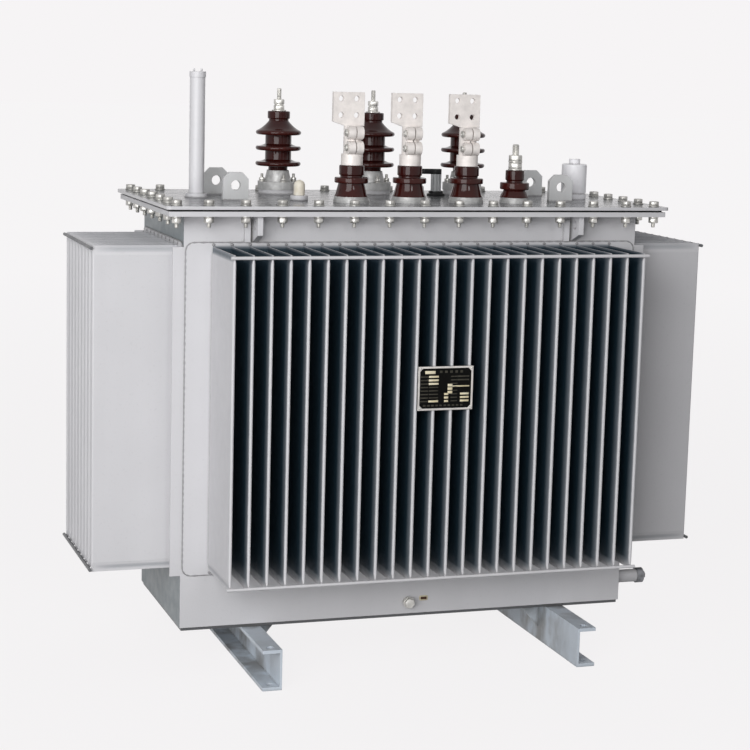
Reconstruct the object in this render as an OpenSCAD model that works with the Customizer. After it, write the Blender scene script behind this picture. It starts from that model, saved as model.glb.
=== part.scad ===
// Oil-filled power transformer with corrugated cooling walls.
// The origin is on the floor under the middle of the tank. +Z is up, +X runs along the tank,
// and the low-voltage front looks towards -Y.

/* [Base channels] */
// Height of the channel section
channel_h = 100; // [80:1:140]
// Width of the channel flanges
channel_b = 48; // [44:1:70]
// Thickness of the channel web
channel_web_t = 5.3; // [4:0.1:8]
// Thickness of the channel flanges
channel_flange_t = 8.5; // [6:0.1:12]
// Length of each channel
channel_len = 870; // [700:5:1100]
// Spacing of the foundation holes across the two channels
foot_pitch_x = 820; // [600:5:1000]
// Distance of the foundation holes from the ends of a channel
foot_hole_end = 25; // [20:1:60]
// Distance of the foundation holes from the back of the web
foot_hole_off = 25; // [22:0.5:30]
// Diameter of the foundation holes
foot_hole_d = 18; // [12:1:22]
// Length of a gusset along the tank floor
gusset_l = 56; // [30:1:90]
// Drop of a gusset down the web
gusset_h = 67; // [30:1:75]
// Thickness of a gusset
gusset_t = 8; // [5:1:14]
// Distance of the gussets in from the long walls of the tank
gusset_inset = 53; // [20:1:120]

/* [Tank] */
// Length of the tank outside its walls
tank_l = 1180; // [1100:5:1400]
// Width of the tank outside its walls
tank_w = 460; // [420:5:600]
// Height of the tank walls above the floor plate, for fins that end at the usual level
tank_h = 1026; // [980:2:1200]
// Thickness of the tank walls
tank_wall = 6; // [4:0.5:10]
// Thickness of the floor plate
floor_t = 8; // [5:0.5:14]
// Distance of the floor plate's edge in from the walls' outer faces
floor_inset = 4; // [0:0.5:5]

/* [Corrugated walls] */
// Spacing of the cooling fins
fin_pitch = 45; // [38:1:60]
// Depth of a fin from its sheet to its tip
fin_depth = 207; // [120:1:260]
// Width of a fin in the middle of its height
fin_t = 8; // [6:0.5:12]
// Width of a fin where its ends are pressed flat
fin_pinch_t = 3; // [2:0.5:5]
// Height of the flat lip along a pressed end
fin_lip_h = 9; // [4:1:16]
// Height of the taper from the lip to the full width
fin_pinch_h = 14; // [12:1:50]
// Height of the fins
fin_h = 795; // [600:5:820]
// Height of the fins' lower ends above the floor plate
fin_lift = 142; // [100:1:170]
// Smallest distance from a long wall's end to the first fin
fin_margin_long = 72; // [50:1:120]
// Smallest distance from a short wall's end to the first fin
fin_margin_short = 48; // [44:1:90]
// Thickness of the sheet that carries the fins
sheet_t = 3; // [2:0.5:6]
// Height of the sheet beyond each end of the fins
sheet_over = 10; // [4:1:16]
// Distance of the sheet's edges in from the tank's corners
sheet_inset = 5; // [2:1:20]
// Radius of the sheet's corners
sheet_r = 20; // [6:1:30]
// Width of the strips along the tank's corners, out from the end walls
strip_w = 26; // [10:1:40]
// Diameter of the tie rods along the fin tips
rod_d = 8; // [5:0.5:12]
// Distance of the tie rods from the ends of the fins
rod_inset = 6; // [4:0.5:12]
// Length of the tie rods past the outermost fins
rod_over = 6; // [0:0.5:12]

/* [Cover joint] */
// Width of the tank rim beyond the end walls
rim_end = 50; // [40:1:70]
// Width of the tank rim beyond the long walls
rim_side = 66; // [50:1:80]
// Thickness of the tank rim
rim_t = 12; // [8:1:20]
// Thickness of the gasket
gasket_t = 5; // [3:0.5:8]
// Distance of the gasket in from the rim's edge
gasket_inset = 7; // [3:1:15]
// Width of the gasket
gasket_w = 34; // [20:1:36]
// Thickness of the cover
cover_t = 8; // [6:1:16]
// Overhang of the cover past the rim
cover_over = 8; // [0:1:15]
// Radius of the cover's corners
cover_r = 12; // [4:1:30]

/* [Lifting lugs] */
// Width of a cover lug
cover_lug_w = 64; // [50:1:90]
// Height of a cover lug
cover_lug_h = 69; // [60:1:110]
// Thickness of a cover lug
cover_lug_t = 14; // [8:1:24]
// Diameter of the eye in a cover lug
cover_lug_eye_d = 25; // [16:1:32]
// Height of the eye above the cover
cover_lug_eye_z = 37; // [28:1:40]
// Size of the cut corners of a cover lug
cover_lug_cut = 16; // [6:1:20]
// Distance of the cover lugs from the middle of the tank's length
cover_lug_x = 433; // [400:1:445]
// Distance of the cover lugs from the middle of the tank's width
cover_lug_y = 100; // [70:1:120]
// Distance of the tank lugs from the middle of the tank's length
tank_lug_x = 416; // [350:1:480]
// Reach of a tank lug out from the wall
tank_lug_reach = 52; // [44:1:60]
// Height of a tank lug at the wall
tank_lug_h = 66; // [56:1:76]
// Height of a tank lug at its tip
tank_lug_tip_h = 46; // [40:1:50]
// Thickness of a tank lug
tank_lug_t = 13; // [8:1:20]
// Diameter of the eye in a tank lug
tank_lug_eye_d = 22; // [14:1:26]
// Distance between a tank lug and the pad beside it
lug_pad_gap = 6; // [3:1:12]
// Width of the pad
lug_pad_w = 14; // [10:1:24]
// Height of the pad
lug_pad_h = 54; // [40:1:60]
// Thickness of the pad
lug_pad_t = 8; // [4:1:12]
// Distance of the pad's top below the rim
lug_pad_drop = 12; // [8:1:14]

/* [High-voltage bushings] */
// Spacing of the high-voltage bushings
hv_pitch = 256; // [240:1:290]
// Distance of the high-voltage bushings behind the middle of the tank
hv_y = 150; // [130:1:160]
// Radius of the seat welded to the cover
hv_seat_r = 50; // [44:1:56]
// Height of the seat
hv_seat_h = 12; // [6:1:20]
// Radius of the clamping ring
hv_ring_r = 52; // [46:1:64]
// Thickness of the clamping ring
hv_ring_t = 20; // [12:1:24]
// Height of the clamping ring's collar above the ring
hv_collar_h = 29; // [20:1:32]
// Radius of the collar at its foot
hv_collar_r = 35; // [32:1:42]
// Radius of the collar at its top
hv_collar_top_r = 28.5; // [27:0.5:36]
// Radius of the porcelain inside the collar
hv_foot_r = 25; // [20:0.5:29]
// Radius of the porcelain between the sheds
hv_core_r = 34; // [30:0.5:40]
// Radius of the sheds
hv_shed_r = 59; // [50:1:66]
// Height of the lowest shed above the cover
hv_shed_z = 72; // [66:1:80]
// Spacing of the sheds
hv_shed_pitch = 40; // [34:0.5:46]
// Radius of the porcelain's neck
hv_neck_r = 22.5; // [18:0.5:26]
// Radius of the porcelain's cap
hv_cap_r = 29; // [26:0.5:34]
// Height of the porcelain above the cover
hv_h = 213; // [206:1:240]
// Radius of the terminal stud
hv_stud_r = 6; // [4:0.5:8]
// Height of the stud above the porcelain
hv_stud_h = 58; // [46:1:80]

/* [Low-voltage bushings] */
// Spacing of the low-voltage bushings
lv_pitch = 152; // [130:1:170]
// Distance of the low-voltage bushings before the middle of the tank
lv_y = 155; // [130:1:165]
// Radius of the base ring
lv_base_r = 44; // [40:1:54]
// Height of the base ring
lv_base_h = 15; // [8:1:20]
// Radius of the porcelain's foot and shed
lv_shed_r = 42; // [38:0.5:52]
// Radius of the porcelain under the shed
lv_waist_r = 32; // [28:0.5:40]
// Radius of the porcelain's cap
lv_cap_r = 31; // [28:0.5:34]
// Height of the porcelain above the cover
lv_h = 92; // [84:1:110]
// Radius of the stud collar on the porcelain
lv_collar_r = 27; // [22:0.5:28]
// Height of the stud collar
lv_collar_h = 27; // [16:1:36]
// Radius of the clamp hub
lv_hub_r = 22; // [16:0.5:24]
// Height of the clamp hub
lv_hub_h = 69; // [60:1:90]
// Reach of the clamp ears from the hub's axis towards the front
lv_ear_reach = 38; // [28:0.5:44]
// Length of the clamp ears along their bolts
lv_ear_l = 38; // [24:1:44]
// Gap between the upper and the lower clamp ear
lv_ear_gap = 4; // [2:0.5:10]
// Width of the terminal palm
palm_w = 80; // [70:1:100]
// Height of the terminal palm
palm_h = 72; // [66:1:100]
// Thickness of the terminal palm
palm_t = 12; // [8:1:16]
// Distance of the palm's middle to the left of the stud
palm_off = 12; // [0:1:20]
// Height of the sloping shoulder between the hub and the palm
palm_shoulder = 10; // [4:1:20]
// Spacing of the palm's bolt holes
palm_pitch = 40; // [36:0.5:44]
// Diameter of the palm's bolt holes
palm_hole_d = 14; // [9:0.5:18]

/* [Neutral bushing] */
// Distance of the neutral bushing from the middle of the tank's length
neutral_x = 283; // [270:1:330]
// Radius of the neutral bushing's base ring
neutral_base_r = 37; // [34:1:44]
// Height of the neutral bushing's base ring
neutral_base_h = 14; // [8:1:20]
// Radius of the neutral bushing's shed
neutral_shed_r = 37; // [34:0.5:42]
// Radius of the neutral bushing's cap
neutral_cap_r = 24; // [22:0.5:28]
// Height of the neutral porcelain above the cover
neutral_h = 83; // [80:1:110]
// Radius of the neutral stud
neutral_stud_r = 9; // [6:0.5:10]
// Height of the neutral stud above the porcelain
neutral_stud_h = 65; // [54:1:80]

/* [Cover fittings] */
// Distance of the oil gauge tube from the middle of the tank's length
gauge_x = 507; // [490:1:540]
// Radius of the oil gauge tube
gauge_r = 19; // [14:0.5:24]
// Height of the oil gauge tube above the cover
gauge_h = 310; // [200:1:400]
// Distance of the relief valve from the middle of the tank's length
relief_x = 516; // [505:1:540]
// Radius of the relief valve
relief_r = 33; // [26:0.5:36]
// Height of the relief valve above the cover
relief_h = 92; // [70:1:120]
// Radius of the relief valve's top button
relief_button_r = 14.5; // [10:0.5:18]
// Height of the relief valve's top button
relief_button_h = 13; // [8:1:20]
// Place of the thermometer pocket along the tank
pocket_x = -268; // [-300:1:-240]
// Distance of the thermometer pocket before the middle of the tank
pocket_y = 95; // [80:1:110]
// Radius of the thermometer pocket
pocket_r = 14; // [10:0.5:18]
// Height of the thermometer pocket above the cover
pocket_h = 51; // [44:1:70]
// Place of the tap changer along the tank
tap_x = 164; // [150:1:166]
// Distance of the tap changer behind the middle of the tank
tap_y = 100; // [60:1:110]
// Radius of the tap changer's base
tap_base_r = 24; // [20:0.5:26]
// Height of the tap changer's base
tap_base_h = 12; // [8:1:18]
// Radius of the tap changer's ribbed body
tap_body_r = 14; // [11:0.5:17]
// Height of the tap changer's ribbed body
tap_body_h = 45; // [34:1:60]
// Length of the tap changer's handle from its axis
tap_handle_l = 42; // [26:1:50]

/* [Tank fittings] */
// Distance of the drain pipe in from the front wall
drain_inset = 40; // [36:1:120]
// Height of the drain pipe above the floor plate
drain_z = 52; // [40:1:70]
// Radius of the drain pipe
drain_r = 17; // [10:0.5:20]
// Length of the drain pipe out from the wall
drain_l = 66; // [40:1:100]
// Radius of the earthing boss
earth_r = 12; // [8:0.5:18]
// Length of the earthing boss
earth_l = 14; // [8:1:24]
// Height of the earthing boss above the floor plate
earth_z = 32; // [24:1:60]
// Width of the rating plate
plate_w = 140; // [100:1:180]
// Height of the rating plate
plate_h = 106; // [70:1:140]
// Thickness of the rating plate
plate_t = 3; // [2:0.5:5]
// Place of the rating plate along the tank
plate_x = 5; // [-60:1:60]
// Height of the rating plate's middle above the fins' lower ends
plate_z = 474; // [200:1:500]

/* [Hidden] */
$fn = 64;

// Colours as the finish shows them
PAINT = "lightgray";
METAL = "gainsboro";
GLAZE = "saddlebrown";
BLACK = "dimgray";

// Overlap that fuses shapes of one solid, and the slack of a piece inside a bore
FUSE = 1;
SLACK = 0.3;

// Usual level of the fins' upper ends above the floor plate, at which the walls are tank_h high
FIN_TOP = 937;

// Levels, with walls that rise and fall with the fins, so that the neck above these keeps its height
floor_top = channel_h + floor_t;
wall_h = tank_h + fin_lift + fin_h - FIN_TOP;
rim_top = floor_top + wall_h;
cover_z = rim_top + gasket_t;
top = cover_z + cover_t;
fin_z = floor_top + fin_lift;

// Plan sizes of the cover joint
rim_l = tank_l + 2 * rim_end;
rim_w = tank_w + 2 * rim_side;
gasket_l_out = rim_l - 2 * gasket_inset;
gasket_w_out = rim_w - 2 * gasket_inset;

// Channels and their holes
web_x = foot_pitch_x / 2 - foot_hole_off;
foot_y = channel_len / 2 - foot_hole_end;

// Fins
fins_long = floor((tank_l - 2 * fin_margin_long) / fin_pitch) + 1;
fins_short = floor((tank_w - 2 * fin_margin_short) / fin_pitch) + 1;
tip_reach = sheet_t + fin_depth;

// Number of steps in a rounded edge of a turned outline
EDGE_STEP = 30;

// Points of an arc in a turned outline, from one angle to another
function arc(cx, cz, r, from, to) =
  [for (a = [from : (to > from ? EDGE_STEP : -EDGE_STEP) : to]) [cx + r * cos(a), cz + r * sin(a)]];

// Points of a shallow hollow between two points of a turned outline
function hollow(a, b, sag) =
  [for (t = [1 : 3]) a + (b - a) * t / 4 - [0, sag * t * (4 - t) / 4]];

// One porcelain shed with a flat underside, a round edge and a hollow top that rises to the next stretch
function shed(z, core, tip, edge_r, end, sag) =
  let (edge = arc(tip - edge_r, z + edge_r, edge_r, -90, 60))
  concat([[core, z]], edge, hollow(edge[len(edge) - 1], end, sag), [end]);

// A turned solid from the outline of its outer side, listed from the bottom up
module turned(outline) {
  last = len(outline) - 1;
  rotate_extrude()
    polygon(concat([[0, outline[0][1]]], outline, [[0, outline[last][1]]]));
}

// A plate lying in the plane of +X and +Y with round corners
module round_plate(l, w, t, r) {
  linear_extrude(t)
    union() {
      square([l - 2 * r, w], center = true);
      square([l, w - 2 * r], center = true);
      for (x = [-1, 1])
        for (y = [-1, 1])
          translate([x * (l / 2 - r), y * (w / 2 - r)]) circle(r);
    }
}

// A flat frame around the tank
module frame(l_out, w_out, l_in, w_in, t) {
  difference() {
    translate([-l_out / 2, -w_out / 2, 0]) cube([l_out, w_out, t]);
    translate([-l_in / 2, -w_in / 2, -FUSE]) cube([l_in, w_in, t + 2 * FUSE]);
  }
}

// A hexagon nut or bolt head standing on its seat
module hex(flats, h) {
  cylinder(r = flats / 2 / cos(30), h = h, $fn = 6);
}

// Base

module base_channel(side) {
  color(PAINT)
    difference() {
      translate([side > 0 ? web_x : -web_x - channel_b, -channel_len / 2, 0])
        cube([channel_b, channel_len, channel_h]);
      translate([side > 0 ? web_x + channel_web_t : -web_x - channel_b - FUSE, -channel_len / 2 - FUSE,
                 channel_flange_t])
        cube([channel_b - channel_web_t + FUSE, channel_len + 2 * FUSE, channel_h - 2 * channel_flange_t]);
      for (y = [-foot_y, foot_y])
        translate([side * foot_pitch_x / 2, y, -FUSE])
          cylinder(d = foot_hole_d, h = channel_h + 2 * FUSE);
    }
}

module channel_gussets() {
  color(PAINT)
    for (side = [-1, 1])
      for (y = [-1, 1])
        translate([side * web_x, y * (tank_w / 2 - gusset_inset) + gusset_t / 2, channel_h])
          rotate([90, 0, 0])
            linear_extrude(gusset_t)
              polygon([[0, 0], [-side * gusset_l, 0], [0, -gusset_h]]);
}

// Tank

module tank_floor() {
  color(PAINT)
    translate([-tank_l / 2 + floor_inset, -tank_w / 2 + floor_inset, channel_h])
      cube([tank_l - 2 * floor_inset, tank_w - 2 * floor_inset, floor_t]);
}

module tank_walls() {
  color(PAINT)
    translate([0, 0, floor_top])
      frame(tank_l, tank_w, tank_l - 2 * tank_wall, tank_w - 2 * tank_wall, wall_h);
}

module tank_rim() {
  color(PAINT)
    translate([0, 0, rim_top - rim_t])
      frame(rim_l, rim_w, tank_l, tank_w, rim_t);
}

module cover_gasket() {
  color(BLACK)
    translate([0, 0, rim_top])
      frame(gasket_l_out, gasket_w_out, gasket_l_out - 2 * gasket_w, gasket_w_out - 2 * gasket_w, gasket_t);
}

module cover() {
  color(PAINT)
    translate([0, 0, cover_z])
      round_plate(rim_l + 2 * cover_over, rim_w + 2 * cover_over, cover_t, cover_r);
}

// Corrugated walls

// One fin standing out along -Y from the sheet, with its ends pressed flat
module fin() {
  tip_r = fin_t / 2;
  lip = fin_pinch_t / 2;
  full = fin_lip_h + fin_pinch_h;
  intersection() {
    linear_extrude(fin_h)
      polygon(concat([[tip_r, FUSE - sheet_t], [-tip_r, FUSE - sheet_t]],
                     arc(0, tip_r - tip_reach, tip_r, 180, 360)));
    translate([0, FUSE, 0])
      rotate([90, 0, 0])
        linear_extrude(tip_reach + 2 * FUSE)
          polygon([
            [-lip, 0], [lip, 0], [lip, fin_lip_h], [tip_r, full],
            [tip_r, fin_h - full], [lip, fin_h - fin_lip_h], [lip, fin_h], [-lip, fin_h],
            [-lip, fin_h - fin_lip_h], [-tip_r, fin_h - full], [-tip_r, full], [-lip, fin_lip_h]
          ]);
  }
}

// A sheet with its row of fins, its back on the plane y = 0 and its fins towards -Y
module corrugated_wall(l, fins) {
  sheet_h = fin_h + 2 * sheet_over;
  translate([0, 0, fin_h / 2])
    rotate([90, 0, 0])
      round_plate(l - 2 * sheet_inset, sheet_h, sheet_t, sheet_r);
  for (i = [0 : fins - 1])
    translate([(i - (fins - 1) / 2) * fin_pitch, 0, 0]) fin();
}

// Turns a wall that faces -Y to one of the four sides of the tank
module on_side(angle, off) {
  rotate([0, 0, angle]) translate([0, -off, fin_z]) children();
}

module corrugated_wall_front() {
  color(PAINT) on_side(0, tank_w / 2) corrugated_wall(tank_l, fins_long);
}

module corrugated_wall_back() {
  color(PAINT) on_side(180, tank_w / 2) corrugated_wall(tank_l, fins_long);
}

module corrugated_wall_left() {
  color(PAINT) on_side(-90, tank_l / 2) corrugated_wall(tank_w, fins_short);
}

module corrugated_wall_right() {
  color(PAINT) on_side(90, tank_l / 2) corrugated_wall(tank_w, fins_short);
}

// Flat strips that stand out from the end walls, flush with the long walls and against the sheets' edges
module corner_strips() {
  color(PAINT)
    for (end = [-1, 1])
      for (side = [-1, 1])
        translate([end * (tank_l + strip_w) / 2 - strip_w / 2,
                   side * (tank_w - sheet_inset) / 2 - sheet_inset / 2,
                   fin_z - sheet_over])
          cube([strip_w, sheet_inset, fin_h + sheet_over]);
}

// The four rods along the fin tips at one height
module tie_rods(z) {
  color(PAINT)
    for (side = [0 : 3]) {
      long = side % 2 == 0;
      l = ((long ? fins_long : fins_short) - 1) * fin_pitch + fin_t + 2 * rod_over;
      on_side(side * 90, (long ? tank_w : tank_l) / 2)
        translate([-l / 2, -tip_reach - rod_d / 2, z])
          rotate([0, 90, 0]) cylinder(d = rod_d, h = l);
    }
}

module fin_tie_rods_upper() {
  tie_rods(fin_h - rod_inset);
}

module fin_tie_rods_lower() {
  tie_rods(rod_inset);
}

// Lifting lugs

// One tank lug in the plane of -Y and +Z, its top under the rim and its back on the wall
module tank_lug() {
  difference() {
    translate([-tank_lug_t / 2, 0, 0])
      rotate([90, 0, 90])
        linear_extrude(tank_lug_t)
          polygon([[0, 0], [-tank_lug_reach, 0], [-tank_lug_reach, -tank_lug_tip_h], [0, -tank_lug_h]]);
    translate([-tank_lug_t, -tank_lug_reach / 2, -tank_lug_tip_h / 2])
      rotate([0, 90, 0]) cylinder(d = tank_lug_eye_d, h = 2 * tank_lug_t);
  }
}

// Puts a piece on the wall under the rim, at both ends of the front and the back
module under_rim() {
  for (angle = [0, 180])
    for (x = [-tank_lug_x, tank_lug_x])
      rotate([0, 0, angle]) translate([x, -tank_w / 2, rim_top - rim_t]) children();
}

module tank_lugs() {
  color(PAINT) under_rim() tank_lug();
}

module tank_lug_pads() {
  color(PAINT)
    under_rim()
      translate([-tank_lug_t / 2 - lug_pad_gap - lug_pad_w, -lug_pad_t, -lug_pad_drop - lug_pad_h])
        cube([lug_pad_w, lug_pad_t, lug_pad_h]);
}

module cover_lug() {
  half = cover_lug_w / 2;
  difference() {
    translate([0, cover_lug_t / 2, 0])
      rotate([90, 0, 0])
        linear_extrude(cover_lug_t)
          polygon([
            [-half, 0], [half, 0],
            [half, cover_lug_h - cover_lug_cut], [half - cover_lug_cut, cover_lug_h],
            [cover_lug_cut - half, cover_lug_h], [-half, cover_lug_h - cover_lug_cut]
          ]);
    translate([0, cover_lug_t, cover_lug_eye_z])
      rotate([90, 0, 0]) cylinder(d = cover_lug_eye_d, h = 2 * cover_lug_t);
  }
}

module cover_lugs() {
  color(PAINT)
    for (x = [-cover_lug_x, cover_lug_x])
      for (y = [-cover_lug_y, cover_lug_y])
        translate([x, y, top]) cover_lug();
}

// High-voltage bushings

// Puts a piece of phase i (0, 1 or 2) on the cover
module at_hv(i) {
  translate([(i - 1) * hv_pitch, hv_y, top]) children();
}

module hv_seats() {
  color(PAINT)
    for (i = [0 : 2])
      at_hv(i) cylinder(r = hv_seat_r, h = hv_seat_h);
}

// A flat ring with a tapered collar, bored for the porcelain's foot
module hv_clamp_ring() {
  bore_r = hv_foot_r + SLACK;
  rotate_extrude()
    polygon([
      [bore_r, hv_seat_h], [hv_ring_r, hv_seat_h], [hv_ring_r, hv_seat_h + hv_ring_t],
      [hv_collar_r, hv_seat_h + hv_ring_t], [hv_collar_top_r, hv_seat_h + hv_ring_t + hv_collar_h],
      [bore_r, hv_seat_h + hv_ring_t + hv_collar_h]
    ]);
}

module hv_clamp_rings() {
  color(METAL)
    for (i = [0 : 2])
      at_hv(i) hv_clamp_ring();
}

module hv_porcelain(i) {
  shed_edge = 6;
  shed_rise = 17;
  shed_sag = 1.5;
  crown_sag = 3;
  cap_h = 20;
  neck_h = 10;
  cap_edge = 3;
  cap_z = hv_h - cap_h;
  shed_z = [for (n = [0 : 2]) hv_shed_z + n * hv_shed_pitch];
  color(GLAZE)
    at_hv(i)
      turned(concat(
        [[hv_foot_r, hv_seat_h]],
        shed(shed_z[0], hv_foot_r, hv_shed_r, shed_edge, [hv_core_r, shed_z[0] + shed_rise], shed_sag),
        shed(shed_z[1], hv_core_r, hv_shed_r, shed_edge, [hv_core_r, shed_z[1] + shed_rise], shed_sag),
        shed(shed_z[2], hv_core_r, hv_shed_r, shed_edge, [hv_neck_r, cap_z - neck_h], crown_sag),
        [[hv_neck_r, cap_z]],
        arc(hv_cap_r - cap_edge, cap_z + cap_edge, cap_edge, -90, 0),
        arc(hv_cap_r - cap_edge, hv_h - cap_edge, cap_edge, 0, 90)
      ));
}

module hv_terminal(i) {
  washer_r = 19;
  washer_t = 3;
  nut_flats = 24;
  nut_h = 12;
  nut_gap = 3;
  color(METAL)
    at_hv(i)
      translate([0, 0, hv_h]) {
        cylinder(r = washer_r, h = washer_t);
        translate([0, 0, washer_t]) hex(nut_flats, nut_h);
        translate([0, 0, washer_t + nut_h]) cylinder(r = nut_flats / 2, h = nut_gap);
        translate([0, 0, washer_t + nut_h + nut_gap]) hex(nut_flats, nut_h);
        cylinder(r = hv_stud_r, h = hv_stud_h);
      }
}

// Low-voltage bushings

module at_lv(i) {
  translate([(i - 1) * lv_pitch, -lv_y, top]) children();
}

// A flat base ring with a lower flange that stands out a little
module base_ring(r, h) {
  step = 2;
  cylinder(r = r, h = h / 2);
  cylinder(r = r - step, h = h);
}

module lv_base_rings() {
  color(METAL)
    for (i = [0 : 2])
      at_lv(i) base_ring(lv_base_r, lv_base_h);
}

module lv_porcelain(i) {
  edge = 3;
  groove_h = 5;
  groove_r = lv_cap_r - 4;
  cap_h = 25;
  shed_h = 14;
  cap_z = lv_h - cap_h;
  shed_z = cap_z - groove_h - shed_h;
  color(GLAZE)
    at_lv(i)
      turned(concat(
        [[lv_shed_r, lv_base_h], [lv_shed_r - edge, lv_base_h + 2 * edge], [lv_waist_r, shed_z]],
        arc(lv_shed_r - edge, shed_z + edge, edge, -90, 0),
        arc(lv_shed_r - edge, shed_z + shed_h - edge, edge, 0, 90),
        [[groove_r, cap_z - groove_h], [groove_r, cap_z]],
        arc(lv_cap_r - edge, cap_z + edge, edge, -90, 0),
        arc(lv_cap_r - edge, lv_h - edge, edge, 0, 90)
      ));
}

// The split hub with its two round clamp ears in front, standing on z = 0
module lv_clamp() {
  slit = 3;
  ear_r = (lv_hub_h - lv_ear_gap) / 4;
  ear_z = ear_r + lv_ear_gap / 2;
  difference() {
    union() {
      translate([0, 0, -FUSE]) cylinder(r = lv_hub_r, h = lv_hub_h + 2 * FUSE);
      for (z = [-ear_z, ear_z])
        translate([-lv_ear_l / 2, ear_r - lv_ear_reach, lv_hub_h / 2 + z])
          rotate([0, 90, 0]) cylinder(r = ear_r, h = lv_ear_l);
    }
    translate([-slit / 2, -lv_ear_reach - FUSE, FUSE])
      cube([slit, lv_ear_reach + FUSE - lv_hub_r / 2, lv_hub_h - 2 * FUSE]);
  }
}

// The flat palm over its sloping shoulder, standing on z = 0
module lv_palm() {
  left = -palm_off - palm_w / 2;
  right = -palm_off + palm_w / 2;
  difference() {
    translate([0, palm_t / 2, 0])
      rotate([90, 0, 0])
        linear_extrude(palm_t)
          polygon([
            [-lv_hub_r, 0], [right, 0], [right, palm_shoulder + palm_h],
            [left, palm_shoulder + palm_h], [left, palm_shoulder]
          ]);
    for (x = [-1, 1])
      for (z = [-1, 1])
        translate([x * palm_pitch / 2 - palm_off, palm_t, palm_shoulder + palm_h / 2 + z * palm_pitch / 2])
          rotate([90, 0, 0]) cylinder(d = palm_hole_d, h = 2 * palm_t);
  }
}

// The stud collar, the split hub that grips the stud, and the flat palm above it
module lv_terminal(i) {
  hub_z = lv_h + lv_collar_h;
  color(METAL)
    at_lv(i) {
      translate([0, 0, lv_h]) cylinder(r = lv_collar_r, h = lv_collar_h);
      translate([0, 0, hub_z]) lv_clamp();
      translate([0, 0, hub_z + lv_hub_h]) lv_palm();
    }
}

// Neutral bushing

module at_neutral() {
  translate([neutral_x, -lv_y, top]) children();
}

module neutral_base_ring() {
  color(METAL) at_neutral() base_ring(neutral_base_r, neutral_base_h);
}

module neutral_porcelain() {
  edge = 3;
  groove_h = 5;
  groove_r = neutral_cap_r - 3;
  cap_h = 26;
  shed_h = 18;
  waist_r = neutral_cap_r + 3;
  cap_z = neutral_h - cap_h;
  shed_z = cap_z - groove_h - shed_h;
  color(GLAZE)
    at_neutral()
      turned(concat(
        [[neutral_shed_r - edge, neutral_base_h], [waist_r, shed_z]],
        arc(neutral_shed_r - edge, shed_z + edge, edge, -90, 0),
        arc(neutral_shed_r - edge, shed_z + shed_h - 2 * edge, edge, 0, 60),
        [[groove_r, cap_z - groove_h], [groove_r, cap_z]],
        arc(neutral_cap_r - edge, cap_z + edge, edge, -90, 0),
        arc(neutral_cap_r - edge, neutral_h - edge, edge, 0, 90)
      ));
}

module neutral_terminal() {
  washer_r = 18;
  washer_t = 3;
  nut_flats = 30;
  nut_h = 16;
  color(METAL)
    at_neutral()
      translate([0, 0, neutral_h]) {
        cylinder(r = washer_r, h = washer_t);
        translate([0, 0, washer_t]) hex(nut_flats, nut_h);
        translate([0, 0, washer_t + nut_h]) cylinder(r = washer_r, h = washer_t);
        translate([0, 0, 2 * washer_t + nut_h]) hex(nut_flats, nut_h);
        cylinder(r = neutral_stud_r, h = neutral_stud_h);
      }
}

// Cover fittings

module oil_gauge_tube() {
  foot_w = 8;
  foot_h = 10;
  lip = 1.5;
  lip_h = 14;
  pin_r = 2.5;
  pin_h = 7;
  color(PAINT)
    translate([-gauge_x, 0, top]) {
      cylinder(r = gauge_r + foot_w, h = foot_h);
      cylinder(r = gauge_r, h = gauge_h - FUSE);
      translate([0, 0, gauge_h - lip_h]) cylinder(r = gauge_r + lip, h = lip_h);
      for (x = [-1, 1])
        translate([x * gauge_r / 2, 0, gauge_h - FUSE]) cylinder(r = pin_r, h = pin_h + FUSE);
    }
}

module relief_valve() {
  foot_h = 13;
  groove_h = 4;
  groove_d = 3;
  shoulder = 4;
  color(PAINT)
    translate([relief_x, 0, top])
      turned(concat(
        [[relief_r, 0], [relief_r, foot_h]],
        [[relief_r - groove_d, foot_h], [relief_r - groove_d, foot_h + groove_h]],
        [[relief_r, foot_h + groove_h]],
        arc(relief_r - shoulder, relief_h - shoulder, shoulder, 0, 90),
        [[relief_button_r, relief_h], [relief_button_r, relief_h + relief_button_h]]
      ));
}

module thermometer_pocket() {
  ring_w = 8;
  ring_h = 12;
  dome_r = 8;
  color(PAINT)
    translate([pocket_x, -pocket_y, top])
      turned(concat(
        [[pocket_r + ring_w, 0], [pocket_r + ring_w, ring_h], [pocket_r, ring_h]],
        arc(pocket_r - dome_r, pocket_h - dome_r, dome_r, 0, 90)
      ));
}

module tap_changer() {
  flutes = 12;
  flute_r = 2;
  color("gray")
    translate([tap_x, tap_y, top]) {
      cylinder(r = tap_base_r, h = tap_base_h);
      translate([0, 0, tap_base_h - FUSE])
        difference() {
          cylinder(r = tap_body_r, h = tap_body_h + FUSE);
          for (i = [0 : flutes - 1])
            rotate(i * 360 / flutes)
              translate([tap_body_r + flute_r / 2, 0, 2 * FUSE])
                cylinder(r = flute_r, h = tap_body_h + FUSE);
        }
    }
}

module tap_changer_handle() {
  handle_h = 13;
  tip_r = 9;
  color("black")
    translate([tap_x, tap_y, top + tap_base_h + tap_body_h]) {
      cylinder(r = tap_body_r, h = handle_h);
      translate([-tap_handle_l + tip_r, 0, 0]) cylinder(r = tip_r, h = handle_h);
      translate([-tap_handle_l + tip_r, -tip_r, 0]) cube([tap_handle_l - tip_r, 2 * tip_r, handle_h]);
    }
}

// Tank fittings

module at_drain() {
  translate([tank_l / 2, drain_inset - tank_w / 2, floor_top + drain_z])
    rotate([0, 90, 0]) children();
}

module drain_pipe() {
  weld_w = 4;
  weld_h = 6;
  color(PAINT)
    at_drain() {
      cylinder(r1 = drain_r + weld_w, r2 = drain_r, h = weld_h);
      cylinder(r = drain_r, h = drain_l);
    }
}

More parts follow.
